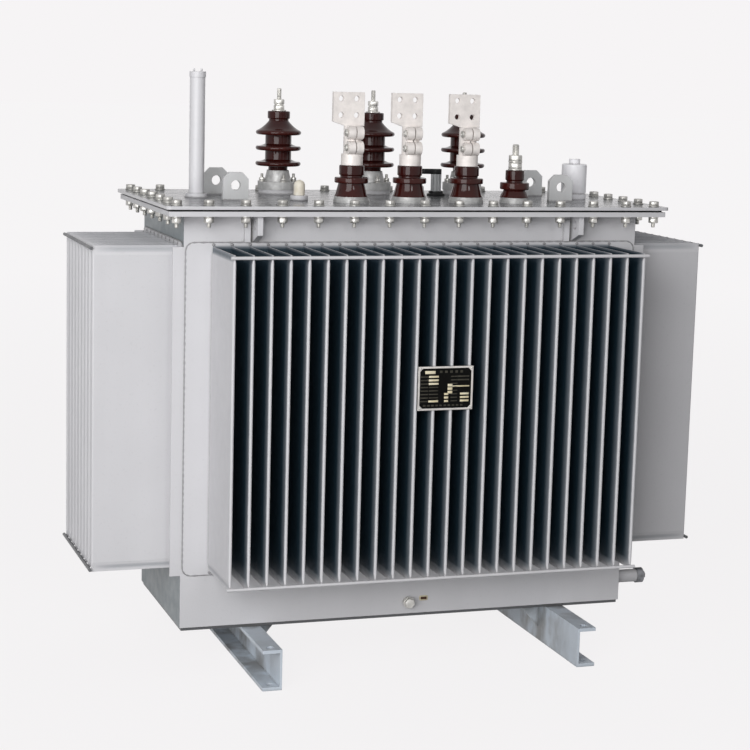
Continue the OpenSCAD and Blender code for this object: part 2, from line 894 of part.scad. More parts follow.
module drain_cap() {
  cap_w = 3;
  cap_h = 18;
  plug_flats = 17;
  plug_h = 8;
  color(METAL)
    at_drain()
      translate([0, 0, drain_l]) {
        cylinder(r = drain_r + cap_w, h = cap_h);
        translate([0, 0, cap_h]) hex(plug_flats, plug_h);
      }
}

module earth_boss() {
  color(METAL)
    translate([0, -tank_w / 2, floor_top + earth_z])
      rotate([90, 0, 0]) cylinder(r = earth_r, h = earth_l);
}

module rating_plate() {
  corner_r = 6;
  color(BLACK)
    translate([plate_x, -tank_w / 2 - tip_reach, fin_z + plate_z])
      rotate([90, 0, 0]) round_plate(plate_w, plate_h, plate_t, corner_r);
}

base_channel(-1);  // base_channel_left
base_channel(1);  // base_channel_right
channel_gussets();
tank_floor();
tank_walls();
tank_rim();
cover_gasket();
cover();
corrugated_wall_front();
corrugated_wall_back();
corrugated_wall_left();
corrugated_wall_right();
corner_strips();
fin_tie_rods_upper();
fin_tie_rods_lower();
tank_lugs();
tank_lug_pads();
cover_lugs();
hv_seats();
hv_clamp_rings();
hv_porcelain(0);  // hv_porcelain_a
hv_porcelain(1);  // hv_porcelain_b
hv_porcelain(2);  // hv_porcelain_c
hv_terminal(0);  // hv_terminal_a
hv_terminal(1);  // hv_terminal_b
hv_terminal(2);  // hv_terminal_c
lv_base_rings();
lv_porcelain(0);  // lv_porcelain_a
lv_porcelain(1);  // lv_porcelain_b
lv_porcelain(2);  // lv_porcelain_c
lv_terminal(0);  // lv_terminal_a
lv_terminal(1);  // lv_terminal_b
lv_terminal(2);  // lv_terminal_c
neutral_base_ring();
neutral_porcelain();
neutral_terminal();
oil_gauge_tube();
relief_valve();
thermometer_pocket();
tap_changer();
tap_changer_handle();
drain_pipe();
drain_cap();
earth_boss();
rating_plate();
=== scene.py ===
"""Dresses an oil-filled power transformer: finishes, porcelains, fasteners, welds and studio."""

import math
import random

import bpy
from mathutils import Matrix, Vector


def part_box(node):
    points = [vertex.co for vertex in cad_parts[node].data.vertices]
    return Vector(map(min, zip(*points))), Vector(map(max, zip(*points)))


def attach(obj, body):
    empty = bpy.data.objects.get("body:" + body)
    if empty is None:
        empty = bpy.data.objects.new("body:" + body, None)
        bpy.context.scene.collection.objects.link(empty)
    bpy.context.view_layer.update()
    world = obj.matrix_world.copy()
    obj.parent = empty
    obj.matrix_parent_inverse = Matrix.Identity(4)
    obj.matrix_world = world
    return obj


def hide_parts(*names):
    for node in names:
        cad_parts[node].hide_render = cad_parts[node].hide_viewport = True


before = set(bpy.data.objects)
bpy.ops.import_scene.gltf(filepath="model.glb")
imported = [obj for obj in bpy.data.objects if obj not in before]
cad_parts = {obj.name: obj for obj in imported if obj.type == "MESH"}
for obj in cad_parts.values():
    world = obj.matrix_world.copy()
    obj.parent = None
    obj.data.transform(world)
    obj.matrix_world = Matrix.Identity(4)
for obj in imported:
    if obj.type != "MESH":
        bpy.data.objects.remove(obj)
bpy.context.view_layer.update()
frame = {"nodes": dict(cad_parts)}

bl_info = {
    "name": "Power Transformer Looks",
    "version": (1, 0, 0),
    "blender": (4, 5, 0),
    "location": "View3D > Sidebar > Transformer",
    "description": "Finishes and small fittings of an oil-filled power transformer",
    "category": "Object",
}

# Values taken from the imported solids

BODY = "root"
PHASES = ("a", "b", "c")
COVER_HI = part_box("cover")[1]
RIM_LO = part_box("tank_rim")[0]
WALL_LO, WALL_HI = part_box("tank_walls")
PLATE_LO, PLATE_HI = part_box("rating_plate")
EARTH_LO, EARTH_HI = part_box("earth_boss")
ORIGIN = Vector((0, 0, 0))
UP = Vector((0, 0, 1))
TO_FRONT = Matrix.Rotation(math.pi / 2, 4, "X")

# Finish of each solid, by the start of its name; the rest have the tank's enamel

SOLID_FINISHES = {
    "base_channel": "base_paint", "channel_gussets": "base_paint", "tank_floor": "floor_plate_shaded",
    "corrugated_wall_front": "long_fin_paint", "corrugated_wall_back": "long_fin_paint",
    "corrugated_wall_left": "short_fin_paint", "corrugated_wall_right": "short_fin_paint",
    "tank_walls": "wall_paint", "fin_tie_rods": "rod_paint",
    "relief_valve": "valve_paint", "oil_gauge_tube": "tube_paint",
    "cover_gasket": "black_rubber", "cover_lugs": "lug_steel", "cover": "cover_paint",
    "hv_clamp_rings": "cast_metal", "lv_base_rings": "cast_metal", "neutral_base_ring": "cast_metal",
    "hv_terminal": "tin_plate", "lv_terminal": "tin_plate", "neutral_terminal": "tin_plate",
    "tap_changer_handle": "black_moulding", "tap_changer": "grey_moulding",
    "drain_cap": "cast_iron", "earth_boss": "zinc_plate", "rating_plate": "black_enamel",
}

# Washers and nuts on the studs, in metres from the foot up: kind, width and thickness

HV_NUT = ("nut", 0.024, 0.012)
HV_LAYERS = [("washer", 0.038, 0.003), HV_NUT, ("washer", 0.024, 0.003), HV_NUT]
HV_STUD = 0.006
HV_TURN = math.radians(12)
NEUTRAL_LAYERS = 2 * [("washer", 0.036, 0.003), ("nut", 0.030, 0.016)]
NEUTRAL_STUD = 0.009
RING_LAYERS = [("washer", 0.017, 0.0016), ("nut", 0.013, 0.0085)]
RING_STUD = 0.004
RING_STUD_H = 0.020
RING_TURN = -86


def foot_of(node):
    """The point on a node's upright axis at its lowest level."""
    low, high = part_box(node)
    return Vector(((low.x + high.x) / 2, (low.y + high.y) / 2, low.z))


def over_cover(node):
    """The point on a node's upright axis at the top of the cover."""
    foot = foot_of(node)
    foot.z = COVER_HI.z
    return foot


def height_of(node):
    """The height of a node from its lowest to its highest point."""
    low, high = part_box(node)
    return high.z - low.z


# Modelling helpers


def leave():
    """Goes back to object mode."""
    bpy.ops.object.mode_set(mode="OBJECT")


def deselect():
    """Leaves nothing selected, so that an operator acts only on what is picked next."""
    if bpy.context.object and bpy.context.object.mode != "OBJECT":
        leave()
    bpy.ops.object.select_all(action="DESELECT")


def activate(piece):
    """Selects one piece alone and makes it the active one."""
    deselect()
    bpy.context.view_layer.objects.active = piece
    piece.select_set(True)


def settle(piece):
    """Moves the piece's place into its mesh, with the object at the origin."""
    activate(piece)
    bpy.ops.object.transform_apply(location=True, rotation=True, scale=True)


def begin(add, name, **size):
    """Adds a primitive to start a piece from and names it."""
    deselect()
    add(**size)
    piece = bpy.context.object
    piece.name = name
    settle(piece)
    return piece


def block(name, middle, size):
    """Starts a piece from a block."""
    return begin(bpy.ops.mesh.primitive_cube_add, name, size=1.0, location=middle, scale=size)


def point(name):
    """Starts a piece from one vertex at the origin, open in edit mode."""
    piece = begin(bpy.ops.mesh.primitive_plane_add, name, size=0.01)
    edit(piece)
    bpy.ops.mesh.merge(type="CENTER")
    return piece


def draw(step):
    """Draws an edge from the selected vertex by a step."""
    bpy.ops.mesh.extrude_vertices_move(TRANSFORM_OT_translate={"value": step})


def edit(piece, mode="VERT"):
    """Opens the piece in edit mode with all of it selected."""
    activate(piece)
    bpy.ops.object.mode_set(mode="EDIT")
    bpy.ops.mesh.select_mode(type=mode)
    bpy.ops.mesh.select_all(action="SELECT")


def pick(piece, mode, test):
    """Opens the piece in edit mode with only the vertices, edges or faces selected that pass the test."""
    edit(piece, mode)
    bpy.ops.mesh.select_all(action="DESELECT")
    leave()
    mesh = piece.data
    parts = {"VERT": mesh.vertices, "EDGE": mesh.edges, "FACE": mesh.polygons}[mode]
    for part in parts:
        part.select = test(part)
    bpy.ops.object.mode_set(mode="EDIT")


def close(piece):
    """Merges doubles, turns the faces outwards and leaves edit mode."""
    edit(piece)
    bpy.ops.mesh.remove_doubles(threshold=1e-6)
    bpy.ops.mesh.normals_make_consistent(inside=False)
    leave()


def modify(piece, kind, **settings):
    """Adds a modifier with its settings and applies it."""
    activate(piece)
    bpy.ops.object.modifier_add(type=kind)
    modifier = piece.modifiers[-1]
    for key, value in settings.items():
        setattr(modifier, key, value)
    bpy.ops.object.modifier_apply(modifier=modifier.name)


def smooth(piece, angle=35):
    """Shades the piece smooth except at edges sharper than the angle."""
    activate(piece)
    bpy.ops.object.shade_smooth_by_angle(angle=math.radians(angle))


def soften(piece, width, segments=2, angle=30):
    """Rounds the sharp edges and shades the rest smooth."""
    modify(piece, "BEVEL", width=width, segments=segments, limit_method="ANGLE",
           angle_limit=math.radians(angle), use_clamp_overlap=True)
    smooth(piece)


def span(piece, edge, axis):
    """The length of an edge along one axis."""
    ends = [piece.data.vertices[index].co[axis] for index in edge.vertices]
    return abs(ends[0] - ends[1])


def round_corners(piece, radius, segments):
    """Rounds the upright edges of a block."""
    pick(piece, "EDGE", lambda edge: span(piece, edge, 2) > 1e-4)
    bpy.ops.mesh.bevel(offset=radius, segments=segments)
    leave()


def placed(piece, matrix):
    """Moves a piece and leaves its object at the origin."""
    piece.matrix_world = matrix
    settle(piece)
    return piece


def copy_of(piece, name, matrix):
    """Copies a piece with its own mesh and moves the copy."""
    activate(piece)
    bpy.ops.object.duplicate(linked=False)
    twin = bpy.context.object
    twin.name = name
    return placed(twin, matrix @ twin.matrix_world)


def joined(name, pieces):
    """Joins pieces into one under a new name."""
    activate(pieces[0])
    for piece in pieces:
        piece.select_set(True)
    if len(pieces) > 1:
        bpy.ops.object.join()
    whole = bpy.context.object
    whole.name = name
    return whole


def drop(piece):
    """Deletes a piece that only served as a pattern."""
    activate(piece)
    bpy.ops.object.delete()


def fit(piece, finish, slot, *nodes):
    """Gives a finished piece its material and its body and hides the solids that it stands for; the slot
    argument is not used.
    """
    piece.data.materials.clear()
    piece.data.materials.append(bpy.data.materials[finish])
    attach(piece, BODY)
    if nodes:
        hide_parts(*nodes)


# Shapes that several pieces share


def lathe(name, outline, foot, steps=64):
    """Draws an outline of radius and height pairs and spins it round the upright axis over the foot."""
    piece = point(name)
    place = ORIGIN
    for index, (radius, height) in enumerate(outline):
        target = foot + Vector((radius, 0, height))
        if index == 0:
            bpy.ops.transform.translate(value=target - place)
        else:
            draw(target - place)
        place = target
    bpy.ops.mesh.select_all(action="SELECT")
    bpy.ops.mesh.spin(steps=steps, angle=math.tau, center=foot, axis=UP)
    close(piece)
    return piece


def bend(radius, height, size, start, end, steps=6):
    """Outline of a round stretch about a centre, from one angle in degrees to another."""
    angles = [math.radians(start + (end - start) * index / steps) for index in range(steps + 1)]
    return [(radius + size * math.cos(angle), height + size * math.sin(angle)) for angle in angles]


def dip(first, last, sag, steps=6):
    """Outline of a shallow hollow between two points, without the points themselves."""
    first, last = Vector(first), Vector(last)
    shares = [index / steps for index in range(1, steps)]
    return [tuple(first.lerp(last, share) - Vector((0, 4 * sag * share * (1 - share)))) for share in shares]


def shed(height, inner, outer, edge, end, sag):
    """Outline of a porcelain shed: flat underside, round edge, hollow top that rises to its end point."""
    tip = bend(outer - edge, height + edge, edge, -90, 60)
    return [(inner, height), *tip, *dip(tip[-1], end, sag), end]


def short_porcelain(node, waist, cap, cap_h, thickness, groove, edge):
    """Outline of a short porcelain: a cone foot, one shed, a groove and a round-edged cap."""
    low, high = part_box(node)
    base = low.z - COVER_HI.z
    top = high.z - COVER_HI.z
    reach = (high.x - low.x) / 2
    cap_z = top - cap_h
    under = cap_z - groove - thickness
    rim = reach - edge
    inner = cap - edge
    return [
        (0, base), (reach, base), (rim, base + 2 * edge), (waist, under),
        *bend(rim, under + edge, edge, -90, 0), *bend(rim, under + thickness - edge, edge, 0, 70),
        (inner, cap_z - groove), (inner, cap_z), *bend(inner, cap_z + edge, edge, -90, 0),
        *bend(inner, top - edge, edge, 0, 90), (0, top),
    ]


def porcelain(node, outline, bevel, core):
    """Turns a porcelain, glazes it and puts it in place of its solid."""
    axis = over_cover(node)
    piece = lathe(node, outline, axis)
    soften(piece, bevel, segments=3)
    finish = node + "_glaze"
    porcelain_glaze(finish, axis, core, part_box(node)[1].x - axis.x)
    fit(piece, finish, "brown_glaze", node)


def hexagon(name, flats, height, foot, turn=0.0):
    """A hexagon nut or bolt head with its upper corners turned off."""
    radius = flats / 2 / math.cos(math.pi / 6)
    body = height * 0.92
    piece = begin(bpy.ops.mesh.primitive_cylinder_add, name, vertices=6, radius=radius, depth=body,
                  location=foot + UP * body / 2, rotation=(0, 0, turn))
    top = foot.z + body
    pick(piece, "FACE", lambda face: face.center.z > top - body * 0.01)
    bpy.ops.mesh.inset(thickness=radius * 0.1)
    bpy.ops.transform.translate(value=UP * (height - body))
    leave()
    soften(piece, flats * 0.02, segments=1)
    return piece


def washer(name, width, thickness, foot):
    """A flat washer with its rim rounded over."""
    radius = width / 2
    piece = lathe(name, [(0, 0), (radius, 0), (radius, thickness), (0, thickness)], foot, 24)
    soften(piece, thickness * 0.2, segments=1)
    return piece


def thread(radius, start, end, pitch):
    """Outline of a thread's ridges between two heights."""
    root = radius * 0.86
    ridges = int((end - start) / pitch)
    points = []
    for ridge in range(ridges):
        height = start + ridge * pitch
        points += [(root, height), (radius, height + pitch / 2)]
    return [(0, start), *points, (root, start + ridges * pitch), (radius * 0.7, end), (0, end)]


def stack(name, foot, layers, stud, reach, turn=0.0):
    """Washers and nuts piled on a foot, with a threaded stud out of the top."""
    pieces = []
    height = 0.0
    for kind, width, thickness in layers:
        place = foot + UP * height
        if kind == "nut":
            pieces.append(hexagon(kind, width, thickness, place, turn))
        else:
            pieces.append(washer(kind, width, thickness, place))
        height += thickness
    if reach > height:
        pieces.append(lathe("stud", thread(stud, height, reach, stud * 0.3), foot, 20))
        smooth(pieces[-1], 20)
    return joined(name, pieces)


def terminal(node, layers, stud, turn=0.0):
    """Nuts and washers on a stud, in place of a terminal's solid."""
    piece = stack(node, foot_of(node), layers, stud, height_of(node), turn)
    fit(piece, "stud_metal", "tinned_metal", node)


def line(name, start, end, pitch):
    """A run of short edges from one point to another."""
    piece = point(name)
    bpy.ops.transform.translate(value=start)
    draw(end - start)
    bpy.ops.mesh.select_all(action="SELECT")
    bpy.ops.mesh.subdivide(number_cuts=max(1, int((end - start).length / pitch)))
    leave()
    return piece


def loop(name, width, depth, corner, pitch):
    """A run of short edges round a rectangle with round corners, lying flat at the origin."""
    piece = begin(bpy.ops.mesh.primitive_plane_add, name, size=1.0)
    edit(piece)
    bpy.ops.transform.resize(value=(width, depth, 1))
    bpy.ops.mesh.bevel(offset=corner, segments=5, affect="VERTICES")
    bpy.ops.mesh.delete(type="ONLY_FACE")
    for axis, size in enumerate((width, depth)):
        straight = size - 2 * corner
        pick(piece, "EDGE", lambda edge: span(piece, edge, axis) > straight * 0.99)
        bpy.ops.mesh.subdivide(number_cuts=max(1, int(straight / pitch)))
    leave()
    return piece


def bead(piece, radius, seed):
    """Turns a run of edges into a weld bead with uneven ripples."""
    activate(piece)
    bpy.ops.object.convert(target="CURVE")
    run = piece.data
    run.bevel_depth = radius
    run.bevel_resolution = 1
    run.use_fill_caps = True
    uneven = random.Random(seed)
    for spline in run.splines:
        for index, spot in enumerate(spline.points):
            spot.radius = (1.1 if index % 2 else 0.78) * uneven.uniform(0.88, 1.1)
    bpy.ops.object.convert(target="MESH")
    close(piece)
    smooth(piece, 60)
    return piece


# Materials


class Nodes:
    """A node tree under construction: adds nodes and joins them."""

    def __init__(self, tree):
        self.tree = tree
        self.tree.nodes.clear()

    def add(self, kind, **settings):
        """Adds a node and sets its properties."""
        node = self.tree.nodes.new(kind)
        for key, value in settings.items():
            setattr(node, key, value)
        return node

    def feed(self, socket, value):
        """Joins an output to a socket, or sets the socket's own value."""
        if isinstance(value, bpy.types.NodeSocket):
            self.tree.links.new(value, socket)
        elif socket.type == "RGBA" and len(value) == 3:
            socket.default_value = (*value, 1.0)
        else:
            socket.default_value = value

    def feed_all(self, node, *values):
        """Feeds a node's sockets in their order."""
        for socket, value in zip(node.inputs, values):
            self.feed(socket, value)

    def math(self, operation, first, second=0.0):
        """One step of arithmetic."""
        node = self.add("ShaderNodeMath", operation=operation)
        self.feed_all(node, first, second)
        return node.outputs[0]

    def seen(self):
        """One for what is looked at, also in a reflection, and zero for light that falls on things."""
        rays = self.add("ShaderNodeLightPath").outputs
        mirrored = self.math("MAXIMUM", rays["Is Glossy Ray"], rays["Is Transmission Ray"])
        return self.math("MAXIMUM", rays["Is Camera Ray"], mirrored)


class Finish(Nodes):
    """A material under construction, which ends in one Principled shader."""

    def __init__(self, name):
        material = bpy.data.materials.new(name)
        material.use_nodes = True
        super().__init__(material.node_tree)
        self.shader = self.add("ShaderNodeBsdfPrincipled")
        output = self.add("ShaderNodeOutputMaterial")
        self.feed(output.inputs["Surface"], self.shader.outputs["BSDF"])
        self.place = self.add("ShaderNodeTexCoord").outputs["Object"]
        self.geometry = self.add("ShaderNodeNewGeometry").outputs

    def set(self, **sockets):
        """Feeds the shader's sockets by name, with underscores for spaces."""
        for key, value in sockets.items():
            self.feed(self.shader.inputs[key.replace("_", " ")], value)

    def noise(self, scale, detail, stretch=None):
        """Noise on the object's own coordinates, stretched along an axis if asked."""
        place = self.place
        if stretch:
            mapping = self.add("ShaderNodeMapping")
            self.feed(mapping.inputs["Vector"], place)
            self.feed(mapping.inputs["Scale"], stretch)
            place = mapping.outputs["Vector"]
        node = self.add("ShaderNodeTexNoise")
        self.feed(node.inputs["Vector"], place)
        self.feed(node.inputs["Scale"], scale)
        self.feed(node.inputs["Detail"], detail)
        return node.outputs["Fac"]

    def ranged(self, value, low, high, to_low=0.0, to_high=1.0):
        """Maps a value from one range to another and clamps it."""
        node = self.add("ShaderNodeMapRange")
        self.feed_all(node, value, low, high, to_low, to_high)
        return node.outputs["Result"]

    def patches(self, scale, detail, low, high, to_low=0.0, to_high=1.0, stretch=None):
        """Noise between two levels, mapped to a range."""
        return self.ranged(self.noise(scale, detail, stretch), low, high, to_low, to_high)

    def mix(self, factor, first, second):
        """Mixes two colours."""
        node = self.add("ShaderNodeMix", data_type="RGBA")
        self.feed(node.inputs[0], factor)
        self.feed(node.inputs[6], first)
        self.feed(node.inputs[7], second)
        return node.outputs[2]

    def over(self, tone, mask, share, colour):
        """Lays a share of a colour over a tone where the mask says."""
        return self.mix(self.math("MULTIPLY", mask, share), tone, colour)

    def axis(self, name, vector=None):
        """One of a vector's three values, from the object's coordinates unless another vector is given."""
        node = self.add("ShaderNodeSeparateXYZ")
        self.feed(node.inputs[0], vector or self.place)
        return node.outputs[name]

    def facing(self, name):
        """How far a surface faces along an axis."""
        return self.axis(name, self.geometry["Normal"])

    def away(self, value):
        """The distance of a value from zero."""
        return self.math("ABSOLUTE", value)

    def length(self, vector):
        """The length of a vector."""
        node = self.add("ShaderNodeVectorMath", operation="LENGTH")
        self.feed(node.inputs[0], vector)
        return node.outputs["Value"]

    def rounded(self, radius):
        """Normals that look rounded at the edges."""
        node = self.add("ShaderNodeBevel", samples=4)
        self.feed(node.inputs["Radius"], radius)
        return node.outputs["Normal"]

    def edges(self, normal):
        """A mask of the edges, from how far the rounded normal leans away from the face."""
        node = self.add("ShaderNodeVectorMath", operation="DOT_PRODUCT")
        self.feed_all(node, normal, self.geometry["True Normal"])
        return self.ranged(node.outputs["Value"], 0.99, 0.75)

    def corner_shade(self, distance):
        """A mask of tight corners, used for painted shade."""
        node = self.add("ShaderNodeAmbientOcclusion", samples=4)
        self.feed(node.inputs["Distance"], distance)
        return self.ranged(node.outputs["AO"], 0.75, 0.3)

    def bump(self, height, distance, normal=None):
        """Relief of a given depth over the surface."""
        node = self.add("ShaderNodeBump")
        self.feed(node.inputs["Strength"], 1.0)
        self.feed(node.inputs["Height"], height)
        self.feed(node.inputs["Distance"], distance)
        if normal:
            self.feed(node.inputs["Normal"], normal)
        return node.outputs["Normal"]


def shade(colour, factor):
    """A colour made lighter or darker."""
    return tuple(min(1.0, part * factor) for part in colour[:3])


def painted_steel(name, colour, dust_and_shade, dust_and_shade_share, even=0.0, edge=0.55, rough=0.34, specular=0.5, stains=0.0,
                  stain_reach=None, dark_tone=None, gaps=None, bare=None, side=None):
    """Satin enamel on steel: runs, mottling, stains, dust on what faces up, thin paint and a painted
    highlight on the edges, painted shade in tight corners and, where asked, between the fins and on the
    faces that look along X.
    """
    paint = Finish(name)
    normal = paint.rounded(0.0012)
    tone = paint.mix(paint.patches(2.3, 4, 0.3, 0.7), shade(colour, 0.94), shade(colour, 1.04))
    runs = paint.patches(9.0, 3, 0.35, 0.75, stretch=(1, 1, 0.06))
    tone = paint.over(tone, runs, 0.35, shade(colour, 0.88))
    specks = paint.patches(160.0, 2, 0.62, 0.75)
    tone = paint.over(tone, specks, 0.25, shade(colour, 0.8))
    if stains:
        stained = paint.patches(13.0, 6, 0.42, 0.60, stretch=(1, 1, 0.6))
        # Stains full towards the middle along Y and faint at the channels' ends.
        if stain_reach:
            under = paint.ranged(paint.away(paint.axis("Y")), stain_reach, stain_reach - 0.16, 0.12, 1.0)
            stained = paint.math("MULTIPLY", stained, under)
        tone = paint.over(tone, stained, stains, shade(dust_and_shade, 0.4))
    # Painted shade: faces that look along X, behind the short walls, laid in a darker blue-grey.
    if side:
        turned = paint.away(paint.facing("X"))
        tone = paint.mix(paint.ranged(turned, 0.6, 0.9), tone, side)
    # Dust on what faces up; the cover's darker top tone goes on through the same mask as a painted dark
    # reflection.
    top_mask = paint.patches(14.0, 5, 0.3, 0.7, even, 1.0)
    top_mask = paint.math("MULTIPLY", top_mask, paint.ranged(paint.facing("Z"), 0.5, 0.95))
    tone = paint.over(tone, top_mask, dust_and_shade_share, dust_and_shade)
    # Edges lightened: thin paint and a painted highlight along them.
    tone = paint.over(tone, paint.edges(normal), edge, shade(colour, 1.22))
    # Painted shade: tight corners darkened towards a dark dust tone, as contact shadow under the rim, bolts
    # and lugs.
    tone = paint.over(tone, paint.corner_shade(0.012), 0.6, shade(dust_and_shade, 0.25))
    # Painted shade between the fins: a blue-grey that gives way to a near-black tone deeper in the gaps.
    if gaps:
        gap_shade_mask = gap_shade(paint, gaps)
        tone = paint.mix(paint.ranged(gap_shade_mask, 0.0, 0.5, 0.0, 0.75), tone, gaps["gap_half_shade"])
        tone = paint.mix(gap_shade_mask, tone, dark_tone)
    # Darker beyond a distance along X: the tie rods' ends past the short walls.
    if bare:
        beyond = paint.math("GREATER_THAN", paint.away(paint.axis("X")), bare)
        tone = paint.mix(beyond, tone, dark_tone)
    gloss = paint.patches(35.0, 4, 0.3, 0.7, rough, rough + 0.16)
    peel = paint.bump(paint.noise(420.0, 2), 0.00025, normal)
    waves = paint.bump(paint.noise(7.0, 2), 0.0012, peel)
    paint.set(Base_Color=tone, Roughness=gloss, Normal=waves, Specular_IOR_Level=specular)


def gap_shade(paint, gaps):
    """A mask of the painted shade between the fins, away from their tips and ends."""
    near, deep = gaps["fade"]
    tip, outer, low, high = (gaps[key] for key in ("tip", "outer", "low", "high"))
    ragged = paint.patches(30.0, 3, 0.2, 0.8, -0.0012, 0.0012)
    reach = paint.math("ADD", paint.away(paint.axis(gaps["depth"])), ragged)
    mask = paint.math("POWER", paint.ranged(reach, tip - near, tip - deep), 0.5)
    row = paint.away(paint.axis(gaps["row"]))
    level = paint.axis("Z")
    limits = (
        paint.ranged(row, outer + 0.003, outer + 0.001),
        paint.ranged(level, low + 0.004, low + 0.026),
        paint.ranged(level, high + 0.004, high - gaps["upper"]),
        paint.ranged(paint.facing("Z"), 0.75, 0.35),
    )
    for limit in limits:
        mask = paint.math("MULTIPLY", mask, limit)
    return mask


def bare_metal(name, colour, dull, metallic, rough, grain):
    """Zinc, tin or aluminium: blotched tone, fine scratches and softened edges with a painted highlight."""
    metal = Finish(name)
    normal = metal.rounded(0.0008)
    tone = metal.mix(metal.patches(60.0, 4, 0.35, 0.7), colour, dull)
    # Edges lightened: a painted highlight along them.
    tone = metal.over(tone, metal.edges(normal), 0.5, shade(colour, 1.25))
    scratches = metal.noise(300.0, 2, stretch=(1, 1, 0.08))
    gloss = metal.patches(90.0, 3, 0.3, 0.7, rough, rough + 0.2)
    metal.set(Base_Color=tone, Metallic=metallic, Roughness=gloss, Specular_IOR_Level=0.3,
              Normal=metal.bump(scratches, grain, normal))


def porcelain_glaze(name, axis, core, tip):
    """Brown glaze, thinner and redder towards the shed edges, with a wet gloss."""
    colours = bpy.context.scene.transformer_paint
    glaze = Finish(name)
    flat = glaze.add("ShaderNodeVectorMath", operation="MULTIPLY_ADD")
    glaze.feed_all(flat, glaze.place, (1, 1, 0), (-axis.x, -axis.y, 0))
    reach = glaze.ranged(glaze.length(flat.outputs["Vector"]), core, tip)
    tone = glaze.over(colours.glaze, reach, 0.6, colours.thin_glaze)
    clouds = glaze.patches(24.0, 5, 0.35, 0.75)
    tone = glaze.over(tone, clouds, 0.5, shade(colours.glaze, 0.55))
    rough = glaze.patches(40.0, 3, 0.3, 0.8, 0.03, 0.10)
    glaze.set(Base_Color=tone, Roughness=rough, Specular_IOR_Level=0.22,
              Normal=glaze.bump(glaze.noise(45.0, 2), 0.0006))


def dull_plastic(name, colour, rough, specular=0.2):
    """Moulded plastic, rubber or enamel with a fine grain and a greyed surface."""
    plastic = Finish(name)
    normal = plastic.rounded(0.001)
    bloom = plastic.patches(50.0, 5, 0.4, 0.75)
    tone = plastic.over(colour, bloom, 0.4, shade(colour, 2.2))
    gloss = plastic.patches(120.0, 2, 0.3, 0.7, rough, rough + 0.15)
    plastic.set(Base_Color=tone, Roughness=gloss, Specular_IOR_Level=specular,
                Normal=plastic.bump(plastic.noise(500.0, 2), 0.0002, normal))


def studio_floor(name, colour, glow):
    """A pale floor that stays pale to the eye and still takes the shadow."""
    floor = Finish(name)
    tone = floor.mix(floor.patches(1.5, 3, 0.3, 0.7, 0.985, 1.0), shade(colour, 0.9), colour)
    level = floor.ranged(floor.length(floor.place), 2.0, 9.0, glow, glow + 0.036)
    floor.set(Base_Color=tone, Roughness=0.9, Specular_IOR_Level=0.0, Emission_Color=(1.0, 0.985, 0.992),
              Emission_Strength=floor.math("MULTIPLY", floor.seen(), level))


# Settings


def number(name, description, default, **kind):
    """A setting that holds a number."""
    return bpy.props.FloatProperty(name=name, description=description, default=default, **kind)


def count(name, description, default):
    """A setting that holds a whole number."""
    return bpy.props.IntProperty(name=name, description=description, default=default)


def length(name, description, default):
    """A setting that holds a length in metres."""
    return number(name, description, default, unit="LENGTH", precision=4)


def angle(name, description, degrees):
    """A setting that holds an angle."""
    return number(name, description, math.radians(degrees), subtype="ANGLE")


def vector(name, description, default, **kind):
    """A setting that holds three numbers."""
    return bpy.props.FloatVectorProperty(name=name, description=description, default=default, size=3, **kind)


def tint(name, description, default):
    """A setting that holds a colour."""
    return vector(name, description, default, subtype="COLOR")


def spot(name, description, default):
    """A setting that holds a place in metres."""
    return vector(name, description, default, subtype="TRANSLATION", unit="LENGTH")


